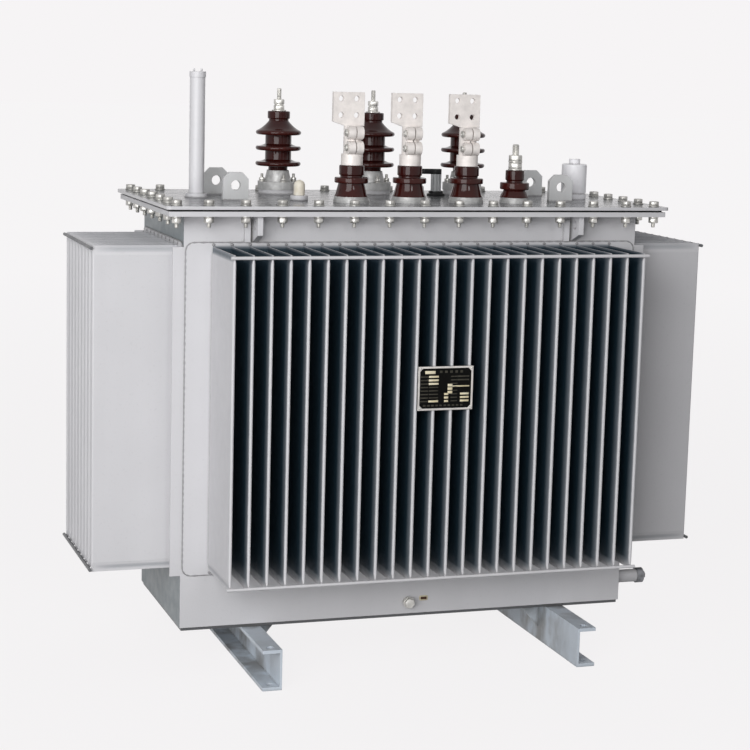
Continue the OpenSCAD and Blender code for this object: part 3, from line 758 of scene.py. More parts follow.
class TransformerPaint(bpy.types.PropertyGroup):
    """Colours of the paint, the glaze, the metals and the plastics."""

    tank: tint("Tank paint", "Silver-grey enamel of the tank and fins", (0.61, 0.605, 0.625))
    # Painted shade: the blue-grey that the gaps between the fins pass through on their way to dark.
    gap_half_shade: tint("Half coat", "Enamel that fades out between the fins", (0.21, 0.245, 0.28))
    # Painted shade: the near-black blue-green deep in the gaps between the fins.
    dark_tone: tint("Primer", "Dark coat where the enamel did not reach", (0.014, 0.032, 0.048))
    base: tint("Base paint", "Cooler grey of the base channels", (0.57, 0.63, 0.70))
    # Painted shade for the tank's faces that look along X, behind the short walls.
    side: tint("Side faces", "Thin paint on the tank's faces behind the short walls", (0.20, 0.23, 0.245))
    # Painted reflection: the cover's top laid darker, for the dark surroundings mirrored in its gloss.
    cover: tint("Cover top", "Darker grey of the cover's upper face", (0.13, 0.138, 0.146))
    lug: tint("Lug steel", "Flame-cut steel of the cover lugs", (0.61, 0.615, 0.62))
    # Dark steel of the tie rods' ends and the drain cap; the floor plate takes a darker shade of it as
    # painted shade along the skirt's lower edge.
    steel: tint("Bare steel", "Unpainted tie rods and cast fittings", (0.115, 0.118, 0.125))
    # Dust on what faces up; a darker shade of it also serves as the painted shade in tight corners.
    dust_and_shade: tint("Dust", "Dust that settles on what faces up", (0.36, 0.33, 0.29))
    glaze: tint("Glaze", "Brown glaze of the porcelains", (0.034, 0.0055, 0.0045))
    thin_glaze: tint("Thin glaze", "Glaze where it runs thin at the edges", (0.060, 0.011, 0.008))
    zinc: tint("Zinc", "Plating of the bolts and nuts", (0.62, 0.61, 0.58))
    tin: tint("Tin", "Plating of the terminals", (0.87, 0.82, 0.79))
    cast: tint("Cast metal", "Bare castings of the clamps and rings", (0.52, 0.52, 0.515))
    rubber: tint("Rubber", "Gasket under the cover", (0.018, 0.018, 0.018))
    black: tint("Black plastic", "Handle and collar of the tap changer", (0.008, 0.008, 0.009))
    grey: tint("Grey plastic", "Body of the tap changer", (0.50, 0.51, 0.52))
    cream: tint("Cream", "Cap of the thermometer pocket", (0.76, 0.70, 0.58))
    enamel: tint("Enamel", "Black face of the rating plate", (0.003, 0.003, 0.0028))
    frame: tint("Plate frame", "Metal frame of the rating plate", (0.66, 0.63, 0.60))
    frame_dull: tint("Dull plate frame", "Worn metal of that frame", (0.52, 0.50, 0.48))
    values: tint("Plate values", "Bright fields of the rating plate", (0.72, 0.63, 0.42))
    labels: tint("Plate labels", "Dim marks of the rating plate", (0.050, 0.047, 0.038))
    tag: tint("Tag", "Rim of the small tag", (0.55, 0.47, 0.33))
    tag_field: tint("Tag field", "Middle of the small tag", (0.045, 0.020, 0.012))


class TransformerBolts(bpy.types.PropertyGroup):
    """Sizes of the bolts round the cover."""

    pitch: length("Pitch", "Spacing of the bolts along the front", 0.090)
    count: count("Count", "Bolts along the front between the corner bolts", 13)
    side_count: count("Side count", "Bolts along a short side, corners included", 7)
    edge: length("Edge distance", "Distance of the bolts from the cover's edge", 0.030)
    flats: length("Across flats", "Width of heads and nuts across flats", 0.0215)
    head: length("Head", "Height of a bolt head", 0.011)
    nut: length("Nut", "Height of a nut", 0.014)
    washer: length("Washer", "Diameter of a washer", 0.027)
    washer_t: length("Washer thickness", "Thickness of a washer", 0.0025)
    shank: length("Shank", "Radius of the threaded shank", 0.005)
    tail: length("Tail", "Length of thread below a nut", 0.011)


class TransformerBushings(bpy.types.PropertyGroup):
    """Sizes of the porcelains and terminals that their boxes do not give."""

    edge: length("Edge", "Rounding of the porcelain caps", 0.003)
    hv_foot: length("HV foot", "Radius of a high-voltage porcelain in its clamp", 0.025)
    hv_core: length("HV core", "Radius between the sheds", 0.034)
    hv_neck: length("HV neck", "Radius of the neck under the cap", 0.0255)
    hv_neck_h: length("HV neck height", "Height of the neck", 0.005)
    hv_cap: length("HV cap", "Radius of the cap", 0.029)
    hv_cap_h: length("HV cap height", "Height of the cap", 0.020)
    hv_first: length("HV first shed", "Height of the lowest shed above the cover", 0.072)
    hv_pitch: length("HV shed pitch", "Spacing of the sheds", 0.040)
    hv_edge: length("HV shed edge", "Rounding of a shed's edge", 0.006)
    hv_rise: length("HV shed rise", "Height of a shed at the core", 0.017)
    hv_sag: length("HV shed hollow", "Depth of the hollow in a shed's top", 0.0015)
    hv_crown_sag: length("HV crown hollow", "Depth of the hollow in the crown's top", 0.003)
    hv_ring: length("HV ring", "Height of a clamp ring's flange", 0.020)
    hv_ring_bolts: length("HV bolt circle", "Radius of the clamp bolts' circle", 0.0435)
    lv_waist: length("LV waist", "Radius of a low-voltage porcelain under its shed", 0.032)
    lv_cap: length("LV cap", "Radius of the cap", 0.031)
    lv_cap_h: length("LV cap height", "Height of the cap", 0.025)
    lv_groove: length("LV groove", "Height of the groove under the cap", 0.005)
    lv_shed: length("LV shed", "Thickness of the shed", 0.014)
    lv_ear: length("LV clamp ear", "Radius of a clamp ear", 0.01625)
    lv_ear_l: length("LV ear length", "Length of a clamp ear along its bolt", 0.038)
    lv_ear_z: length("LV ear height", "Height between the clamp ears above the cover", 0.1535)
    lv_ear_gap: length("LV ear gap", "Gap between the two clamp ears", 0.004)
    screw: length("Clamp screw", "Radius of a clamp screw's head", 0.0085)
    screw_h: length("Clamp screw height", "Height of a clamp screw's head", 0.006)
    socket: length("Screw socket", "Radius of the socket in a clamp screw", 0.0045)
    socket_z: length("Socket floor", "Height of the socket's floor", 0.001)
    neutral_waist: length("Neutral waist", "Radius of the neutral porcelain under its shed", 0.027)
    neutral_cap: length("Neutral cap", "Radius of the cap", 0.024)
    neutral_cap_h: length("Neutral cap height", "Height of the cap", 0.026)
    neutral_shed: length("Neutral shed", "Thickness of the shed", 0.018)


class TransformerFittings(bpy.types.PropertyGroup):
    """Sizes of the thermometer pocket and the tap changer that their boxes do not give."""

    pocket_ring: length("Pocket foot", "Height of the thermometer pocket's foot", 0.013)
    pocket_cap: length("Pocket cap", "Radius of the thermometer pocket's cap", 0.014)
    tap_collar: length("Tap collar", "Height of the collar under the tap changer", 0.012)
    tap_body: length("Tap body", "Radius of the tap changer's body", 0.014)
    tap_ribs: count("Tap sides", "Sides of the body, every second one a groove", 20)
    tap_groove: length("Tap groove", "Depth of a groove", 0.0045)
    handle_w: length("Handle", "Width of the tap changer's handle", 0.018)


class TransformerWelds(bpy.types.PropertyGroup):
    """Sizes of the weld beads and of what they run along."""

    bead: length("Bead", "Radius of the beads round the corrugated walls", 0.0022)
    lug_bead: length("Lug bead", "Radius of the beads at the lugs and seats", 0.0034)
    ripple: length("Ripple", "Length of a ripple", 0.006)
    sheet_corner: length("Sheet corner", "Radius of the corrugated walls' corners", 0.020)
    sheet_t: length("Sheet thickness", "Thickness of the corrugated walls' sheet", 0.003)
    sheet_over: length("Sheet margin", "Height of the sheet beyond the fins", 0.010)
    neck_corner: length("Neck corner", "Radius of the tank neck's corners", 0.004)
    fin_pitch: length("Fin pitch", "Spacing of the fins", 0.045)
    fins_long: count("Long fins", "Fins on a long wall", 24)
    fins_short: count("Short fins", "Fins on a short wall", 9)
    tank_lug_t: length("Tank lug", "Thickness of a tank lug", 0.013)
    cover_lug_t: length("Cover lug", "Thickness of a cover lug", 0.014)
    cover_lug_w: length("Cover lug width", "Width of a cover lug", 0.064)


class TransformerPlate(bpy.types.PropertyGroup):
    """Sizes of the rating plate's frame and blank fields, and of the earthing point."""

    border: length("Border", "Width of the metal frame", 0.0045)
    corner: length("Corner", "Size of the frame's corner pieces", 0.0075)
    relief: length("Relief", "Height of the frame over the plate", 0.0014)
    rivet: length("Rivet", "Radius of a rivet's head", 0.003)
    rows: count("Rows", "Rows of blank fields", 8)
    earth_flats: length("Earth bolt", "Width of the earthing bolt across flats", 0.023)
    earth_head: length("Earth head", "Height of the earthing bolt's head", 0.009)
    earth_washer: length("Earth washer", "Thickness of the earthing bolt's washer", 0.002)
    tag_w: length("Tag", "Width of the small tag beside the earthing boss", 0.023)
    tag_h: length("Tag height", "Height of the tag", 0.013)
    tag_t: length("Tag thickness", "Thickness of the tag", 0.0016)
    tag_rise: length("Tag rise", "Height of the tag over the middle of the boss", 0.006)
    tag_rim: length("Tag rim", "Width of the tag's rim, both sides together", 0.007)
    field_h: length("Tag field height", "Height of the field on the tag", 0.007)
    field_t: length("Tag field thickness", "Thickness of the tag with its field", 0.0022)


class TransformerStage(bpy.types.PropertyGroup):
    """The studio: floor, lights and camera."""

    floor: tint("Floor", "Colour of the floor", (0.07, 0.07, 0.07))
    floor_r: length("Floor radius", "Radius of the floor", 60.0)
    backdrop: tint("Backdrop", "Colour behind the object", (0.922, 0.905, 0.913))
    glow: number("Floor glow", "Light that the floor adds for the eye alone", 0.862)
    sky: tint("Sky", "Colour of the light from all round", (0.97, 0.98, 1.0))
    ambient: number("Ambient", "Strength of the light from all round", 0.18)
    key: number("Key light", "Power of the large light at the front left", 126.0, subtype="POWER")
    key_place: spot("Key place", "Place of the large light", (-2.85, -3.75, 1.7))
    key_size: length("Key size", "Width of the large light", 3.4)
    key_spread: angle("Key spread", "Angle over which the large light shines", 140)
    key_aim: spot("Key aim", "Point that the large light faces", (0, 0, 0.7))
    front: number("Front light", "Strength of the even light from the front", 0.3)
    front_from: vector("Front from", "Direction that the front light comes from", (0.05, -1.0, 0.35),
                       subtype="DIRECTION")
    front_spread: angle("Front spread", "Softness of the front light's shadows", 12)
    back: number("Back light", "Strength of the even light from the back right", 1.5)
    back_from: vector("Back from", "Direction that the back light comes from", (0.65, 0.75, 0.30),
                      subtype="DIRECTION")
    back_spread: angle("Back spread", "Softness of the back light's shadows", 40)
    camera: spot("Camera place", "Place of the camera", (-1.6304, -4.7930, 1.4852))
    yaw: angle("Yaw", "Turn of the camera from the tank's depth", 18.516)
    pitch: angle("Pitch", "Tilt of the camera downwards", 8.980)
    roll: angle("Roll", "Roll of the camera", 1.521)
    lens: number("Lens", "Focal length on a 36 mm sensor, in millimetres", 94.29)


# Operators


class TRANSFORMER_OT_finish_solids(bpy.types.Operator):
    """Gives every solid of the frame its paint, metal, rubber or plastic"""

    bl_idname = "transformer.finish_solids"
    bl_label = "Finish the solids"

    def execute(self, context):
        colours = context.scene.transformer_paint
        self.paints(colours, context.scene.transformer_welds)
        self.metals(colours)
        dull_plastic("black_rubber", colours.rubber, 0.7)
        dull_plastic("black_moulding", colours.black, 0.35)
        dull_plastic("grey_moulding", colours.grey, 0.4)
        dull_plastic("black_enamel", colours.enamel, 0.3, 0.05)
        for name, solid in frame["nodes"].items():
            finishes = (finish for start, finish in SOLID_FINISHES.items() if name.startswith(start))
            solid.data.materials.clear()
            solid.data.materials.append(bpy.data.materials[next(finishes, "tank_enamel")])
        return {"FINISHED"}

    def paints(self, colours, welds):
        """The paints, each with its colour, its dust and how much of it settles."""
        tank, dust_and_shade = colours.tank, colours.dust_and_shade
        painted_steel("tank_enamel", tank, dust_and_shade, 0.55)
        # The walls' faces along X carry painted shade.
        painted_steel("wall_paint", tank, dust_and_shade, 0.55, side=colours.side)
        # Painted shade: the weld beads and dabs in the enamel at half its tone, for the shadow lines along
        # the seams and under the dabs.
        painted_steel("weld_paint_shaded", shade(tank, 0.5), dust_and_shade, 0.4, edge=0.0)
        painted_steel("base_paint", colours.base, dust_and_shade, 0.1, edge=0.8, stains=0.75, stain_reach=0.40)
        # Painted reflection: the cover's top laid darker grey over most of it.
        painted_steel("cover_paint", tank, colours.cover, 0.95, even=0.65, rough=0.07, specular=0.12)
        painted_steel("valve_paint", shade(tank, 1.5), dust_and_shade, 0.3)
        painted_steel("tube_paint", shade(tank, 1.13), dust_and_shade, 0.3)
        painted_steel("lug_steel", colours.lug, dust_and_shade, 0.4, edge=0.25, stains=0.15)
        # Painted shade: the floor plate laid dark, for the shadow along the skirt's lower edge.
        painted_steel("floor_plate_shaded", shade(colours.steel, 0.7), dust_and_shade, 0.2, edge=0.2)
        short_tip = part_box("corrugated_wall_right")[1].x
        # The tie rods are darker past the short walls' fin tips.
        painted_steel("rod_paint", tank, dust_and_shade, 0.3, dark_tone=colours.steel, bare=short_tip - 0.01)
        # The fin walls carry painted shade in the gaps between their fins.
        gaps = self.gaps("corrugated_wall_front", "Y", "X", welds.fins_long,
                         fade=(0.003, 0.036), upper=0.006)
        painted_steel("long_fin_paint", tank, dust_and_shade, 0.3, dark_tone=colours.dark_tone, gaps=gaps)
        gaps = self.gaps("corrugated_wall_right", "X", "Y", welds.fins_short,
                         fade=(0.010, 0.060), upper=0.050)
        painted_steel("short_fin_paint", tank, dust_and_shade, 0.3, dark_tone=colours.dark_tone, gaps=gaps)

    def gaps(self, node, depth, row, fins, fade, upper):
        """Where the gaps between a wall's fins lie, for the painted shade in them: axes, tips, ends,
        outermost fins and how the shade darkens.
        """
        scene = bpy.context.scene
        welds = scene.transformer_welds
        low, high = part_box(node)
        tip = max(abs(getattr(low, depth.lower())), abs(getattr(high, depth.lower())))
        return {
            "depth": depth, "row": row, "tip": tip, "outer": (fins - 1) / 2 * welds.fin_pitch,
            "low": low.z + welds.sheet_over, "high": high.z - welds.sheet_over,
            "fade": fade, "upper": upper, "gap_half_shade": scene.transformer_paint.gap_half_shade,
        }

    def metals(self, colours):
        """The bare metals: colour, bright and dull shade, metallic share, roughness, depth of grain."""
        metals = {
            "cast_metal": (colours.cast, 1.0, 0.7, 0.4, 0.42, 0.0006),
            "tin_plate": (colours.tin, 1.0, 0.85, 0.12, 0.4, 0.0002),
            "stud_metal": (colours.zinc, 1.15, 0.65, 0.55, 0.22, 0.0002),
            # A darker copy of the zinc for the heads on the cover: a painted dark reflection.
            "zinc_dark_reflection": (colours.zinc, 0.85, 0.45, 0.6, 0.3, 0.0002),
            "zinc_plate": (colours.zinc, 1.0, 0.65, 0.7, 0.25, 0.0001),
            "cast_iron": (colours.steel, 2.6, 1.0, 0.4, 0.45, 0.0006),
        }
        for name, (colour, bright, dull, *surface) in metals.items():
            bare_metal(name, shade(colour, bright), shade(colour, dull), *surface)


class TRANSFORMER_OT_hv_bushings(bpy.types.Operator):
    """Turns the high-voltage porcelains and puts the studs, nuts and clamp bolts on"""

    bl_idname = "transformer.hv_bushings"
    bl_label = "High-voltage bushings"

    def execute(self, context):
        sizes = context.scene.transformer_bushings
        for phase in PHASES:
            node = "hv_porcelain_" + phase
            porcelain(node, self.outline(sizes, *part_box(node)), 0.0015, sizes.hv_core)
            terminal("hv_terminal_" + phase, HV_LAYERS, HV_STUD, HV_TURN)
            self.ring_bolts("hv_ring_bolts_" + phase, over_cover(node), sizes)
        return {"FINISHED"}

    def outline(self, sizes, low, high):
        """Three sheds on a straight core, a hollow crown, a narrow neck and a round-edged cap."""
        seat = low.z - COVER_HI.z
        top = high.z - COVER_HI.z
        reach = (high.x - low.x) / 2
        cap = top - sizes.hv_cap_h
        edge, core, rise = sizes.hv_edge, sizes.hv_core, sizes.hv_rise
        first, second, third = (sizes.hv_first + sizes.hv_pitch * index for index in range(3))
        inner = sizes.hv_cap - sizes.edge
        return [
            (0, seat), (sizes.hv_foot, seat),
            *shed(first, sizes.hv_foot, reach, edge, (core, first + rise), sizes.hv_sag),
            *shed(second, core, reach, edge, (core, second + rise), sizes.hv_sag),
            *shed(third, core, reach, edge, (sizes.hv_neck, cap - sizes.hv_neck_h), sizes.hv_crown_sag),
            (sizes.hv_neck, cap), *bend(inner, cap + sizes.edge, sizes.edge, -90, 0),
            *bend(inner, top - sizes.edge, sizes.edge, 0, 90), (0, top),
        ]

    def ring_bolts(self, name, axis, sizes):
        """Four studs with nuts on a clamp ring."""
        bolts = []
        for quarter in range(4):
            turn = math.radians(RING_TURN + 90 * quarter)
            place = axis + Vector((math.cos(turn), math.sin(turn), 0)) * sizes.hv_ring_bolts
            place.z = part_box("hv_clamp_rings")[0].z + sizes.hv_ring
            bolts.append(stack("bolt", place, RING_LAYERS, RING_STUD, RING_STUD_H, turn))
        fit(joined(name, bolts), "zinc_plate", "zinc")


class TRANSFORMER_OT_lv_bushings(bpy.types.Operator):
    """Turns the low-voltage porcelains and puts the screws in their clamps"""

    bl_idname = "transformer.lv_bushings"
    bl_label = "Low-voltage bushings"

    def execute(self, context):
        sizes = context.scene.transformer_bushings
        for phase in PHASES:
            node = "lv_porcelain_" + phase
            outline = short_porcelain(node, sizes.lv_waist, sizes.lv_cap, sizes.lv_cap_h, sizes.lv_shed,
                                      sizes.lv_groove, sizes.edge)
            porcelain(node, outline, 0.0012, sizes.lv_cap)
            self.clamp_screws("lv_clamp_screws_" + phase, "lv_terminal_" + phase, over_cover(node).x, sizes)
        return {"FINISHED"}

    def clamp_screws(self, name, node, middle, sizes):
        """A socket screw in the left end of each clamp ear."""
        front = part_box(node)[0].y + sizes.lv_ear
        rise = sizes.lv_ear + sizes.lv_ear_gap / 2
        outline = [(0, 0), (sizes.screw, 0), (sizes.screw, sizes.screw_h), (sizes.socket, sizes.screw_h),
                   (sizes.socket, sizes.socket_z), (0, sizes.socket_z)]
        screws = []
        for side in (-1, 1):
            end = Vector((middle - sizes.lv_ear_l / 2, front, COVER_HI.z + sizes.lv_ear_z + side * rise))
            head = lathe("head", outline, ORIGIN, 32)
            soften(head, 0.0008)
            screws.append(placed(head, Matrix.Translation(end) @ Matrix.Rotation(-math.pi / 2, 4, "Y")))
        fit(joined(name, screws), "zinc_plate", "zinc")


class TRANSFORMER_OT_neutral_bushing(bpy.types.Operator):
    """Turns the neutral porcelain and puts its stud and nuts on"""

    bl_idname = "transformer.neutral_bushing"
    bl_label = "Neutral bushing"

    def execute(self, context):
        sizes = context.scene.transformer_bushings
        node = "neutral_porcelain"
        outline = short_porcelain(node, sizes.neutral_waist, sizes.neutral_cap, sizes.neutral_cap_h,
                                  sizes.neutral_shed, sizes.lv_groove, sizes.edge)
        porcelain(node, outline, 0.0012, sizes.neutral_cap)
        terminal("neutral_terminal", NEUTRAL_LAYERS, NEUTRAL_STUD)
        return {"FINISHED"}


class TRANSFORMER_OT_cover_fittings(bpy.types.Operator):
    """Turns the thermometer pocket with its cap and shapes the tap changer with its handle"""

    bl_idname = "transformer.cover_fittings"
    bl_label = "Cover fittings"

    def execute(self, context):
        sizes = context.scene.transformer_fittings
        dull_plastic("cream_cap", context.scene.transformer_paint.cream, 0.3)
        self.pocket(sizes)
        self.tap_changer(sizes)
        self.handle(sizes)
        return {"FINISHED"}

    def pocket(self, sizes):
        """A flanged foot and a cap that is round at the top."""
        node = "thermometer_pocket"
        low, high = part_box(node)
        foot = foot_of(node)
        wide = (high.x - low.x) / 2
        cap = sizes.pocket_cap
        ring = sizes.pocket_ring
        flange = lathe(node, [(0, 0), (wide, 0), (wide, ring), (cap * 0.9, ring), (0, ring)], foot, 48)
        soften(flange, 0.0018)
        fit(flange, "tank_enamel", "tank_paint", node)
        top = high.z - low.z
        dome = bend(0, top - cap, cap, 0, 90, 10)
        outline = [(0, ring), (cap * 0.94, ring), (cap, ring + 0.002), *dome[:-1], (0, top)]
        hat = lathe("thermometer_cap", outline, foot, 48)
        smooth(hat)
        fit(hat, "cream_cap", "grey_plastic")

    def tap_changer(self, sizes):
        """A black collar under an upright body with grooves all round."""
        node = "tap_changer"
        low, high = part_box(node)
        foot = foot_of(node)
        wide = (high.x - low.x) / 2
        neck = wide * 0.8
        collar = sizes.tap_collar
        outline = [(0, 0), (wide, 0), (wide, collar * 0.4), (neck, collar * 0.5), (neck, collar),
                   (0, collar)]
        base = lathe("tap_changer_collar", outline, foot, 48)
        soften(base, 0.0008)
        fit(base, "black_moulding", "black_plastic")
        tall = high.z - low.z - collar
        body = begin(bpy.ops.mesh.primitive_cylinder_add, node, vertices=sizes.tap_ribs,
                     radius=sizes.tap_body, depth=tall, location=foot + UP * (collar + tall / 2))
        pick(body, "FACE",
             lambda face: abs(face.normal.z) < 0.5 and self.groove(face.normal, sizes.tap_ribs))
        bpy.ops.mesh.inset(thickness=0.0004, depth=-sizes.tap_groove, use_individual=True)
        leave()
        soften(body, 0.0005, segments=1)
        fit(body, "grey_moulding", "grey_plastic", node)

    def groove(self, normal, sides):
        """True for every second side of the body."""
        return int(math.atan2(normal.y, normal.x) / math.tau * sides + sides) % 2 == 0

    def handle(self, sizes):
        """A flat arm with round ends, hollowed on top, and a hub over the body."""
        node = "tap_changer_handle"
        low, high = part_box(node)
        middle = (low + high) / 2
        arm = block("arm", middle, (high.x - low.x, sizes.handle_w, high.z - low.z))
        round_corners(arm, sizes.handle_w * 0.49, 6)
        pick(arm, "FACE", lambda face: face.normal.z > 0.9)
        bpy.ops.mesh.inset(thickness=0.003)
        bpy.ops.transform.translate(value=UP * -0.002)
        leave()
        soften(arm, 0.0012)
        hub_h = high.z - low.z
        hub_r = (high.y - low.y) / 2
        outline = [(0, 0), (hub_r, 0), (hub_r, hub_h * 0.8), (hub_r * 0.7, hub_h), (0, hub_h)]
        hub = lathe("hub", outline, Vector((high.x - hub_r, middle.y, low.z)), 40)
        soften(hub, 0.001)
        fit(joined(node, [arm, hub]), "black_moulding", "black_plastic", node)


class TRANSFORMER_OT_cover_bolts(bpy.types.Operator):
    """Bolts the cover to the rim all round: heads and washers above, nuts and thread ends below"""

    bl_idname = "transformer.cover_bolts"
    bl_label = "Cover bolts"

    def execute(self, context):
        sizes = context.scene.transformer_bolts
        plate = ("washer", sizes.washer, sizes.washer_t)
        above = Vector((0, 0, COVER_HI.z))
        head = stack("head", above, [plate, ("nut", sizes.flats, sizes.head)], 0, 0)
        reach = sizes.washer_t + sizes.nut + sizes.tail
        nut = stack("nut", ORIGIN, [plate, ("nut", sizes.flats, sizes.nut)], sizes.shank, reach)
        placed(nut, Matrix.Translation((0, 0, RIM_LO.z)) @ Matrix.Rotation(math.pi, 4, "X"))
        for side, places in self.sides(sizes).items():
            # The heads on the cover take a darker copy of the zinc, a painted dark reflection.
            self.row("cover_bolt_heads_" + side, head, places, "zinc_dark_reflection")
            self.row("cover_bolt_nuts_" + side, nut, places, "zinc_plate")
        drop(head)
        drop(nut)
        return {"FINISHED"}

    def sides(self, sizes):
        """Places of the bolts along each side, with the corners in the long rows."""
        half_l = COVER_HI.x - sizes.edge
        half_w = COVER_HI.y - sizes.edge
        row = [(index - (sizes.count - 1) / 2) * sizes.pitch for index in range(sizes.count)]
        row = [-half_l, *row, half_l]
        step = 2 * half_w / (sizes.side_count - 1)
        column = [-half_w + step * index for index in range(1, sizes.side_count - 1)]
        return {
            "front": [(x, -half_w) for x in row], "back": [(x, half_w) for x in row],
            "left": [(-half_l, y) for y in column], "right": [(half_l, y) for y in column],
        }

    def row(self, name, pattern, places, finish):
        """Copies of a pattern at the places, each turned by chance, joined into one piece."""
        turns = random.Random(name)
        copies = []
        for x, y in places:
            turn = Matrix.Rotation(turns.uniform(0, math.tau), 4, "Z")
            copies.append(copy_of(pattern, "bolt", Matrix.Translation((x, y, 0)) @ turn))
        fit(joined(name, copies), finish, "zinc")


class TRANSFORMER_OT_welds(bpy.types.Operator):
    """Runs weld beads round the corrugated walls, the rim, the lugs and the seats"""

    bl_idname = "transformer.welds"
    bl_label = "Weld beads"

    def execute(self, context):
        sizes = context.scene.transformer_welds
        self.walls(sizes)
        self.rim(sizes)
        self.lugs(sizes)
        self.seats(sizes)
        return {"FINISHED"}

    def walls(self, sizes):
        """A bead round each wall's sheet and a dab of weld at both ends of every fin's root."""
        for seed, side in enumerate(("front", "right", "back", "left")):
            low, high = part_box("corrugated_wall_" + side)
            if side in ("front", "back"):
                along, face, fins = high.x - low.x, -WALL_LO.y, sizes.fins_long
            else:
                along, face, fins = high.y - low.y, WALL_HI.x, sizes.fins_short
            turn = Matrix.Rotation(math.radians(90 * seed), 4, "Z")
            middle = Vector((0, -face - sizes.sheet_t / 2, (low.z + high.z) / 2))
            run = loop("run", along, high.z - low.z, sizes.sheet_corner, sizes.ripple)
            placed(run, turn @ Matrix.Translation(middle) @ TO_FRONT)
            dabs = []
            for level in (low.z + sizes.sheet_over / 2, high.z - sizes.sheet_over / 2):
                start = Vector((-(fins - 1) / 2 * sizes.fin_pitch, -face - sizes.sheet_t, level))
                dabs.append(placed(self.dabs(fins, sizes), turn @ Matrix.Translation(start)))
            whole = joined("weld_wall_" + side, [bead(run, sizes.bead, seed), *dabs])
            fit(whole, "weld_paint_shaded", "tank_paint")

    def dabs(self, fins, sizes):
        """A row of flattened dabs at the fins' pitch, starting at the origin."""
        dab = begin(bpy.ops.mesh.primitive_uv_sphere_add, "dab", segments=8, ring_count=6,
                    radius=sizes.bead * 2)
        edit(dab)
        bpy.ops.transform.resize(value=(1.0, 0.55, 0.8))
        leave()
        modify(dab, "ARRAY", count=fins, use_relative_offset=False, use_constant_offset=True,
               constant_offset_displace=(sizes.fin_pitch, 0, 0))
        smooth(dab, 80)
        return dab

    def rim(self, sizes):
        """A bead under the rim, all round the neck."""
        size = WALL_HI - WALL_LO
        run = loop("weld_rim", size.x, size.y, sizes.neck_corner, sizes.ripple)
        placed(run, Matrix.Translation((0, 0, RIM_LO.z)))
        fit(bead(run, sizes.lug_bead, 11), "weld_paint_shaded", "tank_paint")

    def lugs(self, sizes):
        """Beads down both sides of every tank lug and along both sides of every cover lug."""
        runs = []
        low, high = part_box("tank_lugs")
        for x in (low.x, low.x + sizes.tank_lug_t, high.x - sizes.tank_lug_t, high.x):
            for y in (WALL_LO.y, WALL_HI.y):
                runs.append(line("run", Vector((x, y, low.z)), Vector((x, y, RIM_LO.z)), sizes.ripple))
        low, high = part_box("cover_lugs")
        for x in (low.x, high.x - sizes.cover_lug_w):
            for y in (low.y, low.y + sizes.cover_lug_t, high.y - sizes.cover_lug_t, high.y):
                start = Vector((x, y, COVER_HI.z))
                runs.append(line("run", start, start + Vector((sizes.cover_lug_w, 0, 0)), sizes.ripple))
        beads = [bead(run, sizes.lug_bead, seed) for seed, run in enumerate(runs)]
        fit(joined("weld_lugs", beads), "weld_paint_shaded", "tank_paint")

    def seats(self, sizes):
        """Beads round the seats of the high-voltage bushings and the foot of the gauge tube."""
        low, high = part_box("hv_seats")
        feet = [(over_cover("hv_porcelain_" + phase), (high.y - low.y) / 2) for phase in PHASES]
        low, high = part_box("oil_gauge_tube")
        feet.append((over_cover("oil_gauge_tube"), (high.y - low.y) / 2))
        rings = []
        for seed, (foot, radius) in enumerate(feet, 40):
            ring = begin(bpy.ops.mesh.primitive_circle_add, "ring", radius=radius,
                         vertices=2 * int(math.pi * radius / sizes.ripple), location=foot)
            rings.append(bead(ring, sizes.lug_bead, seed))
        fit(joined("weld_seats", rings), "weld_paint_shaded", "tank_paint")


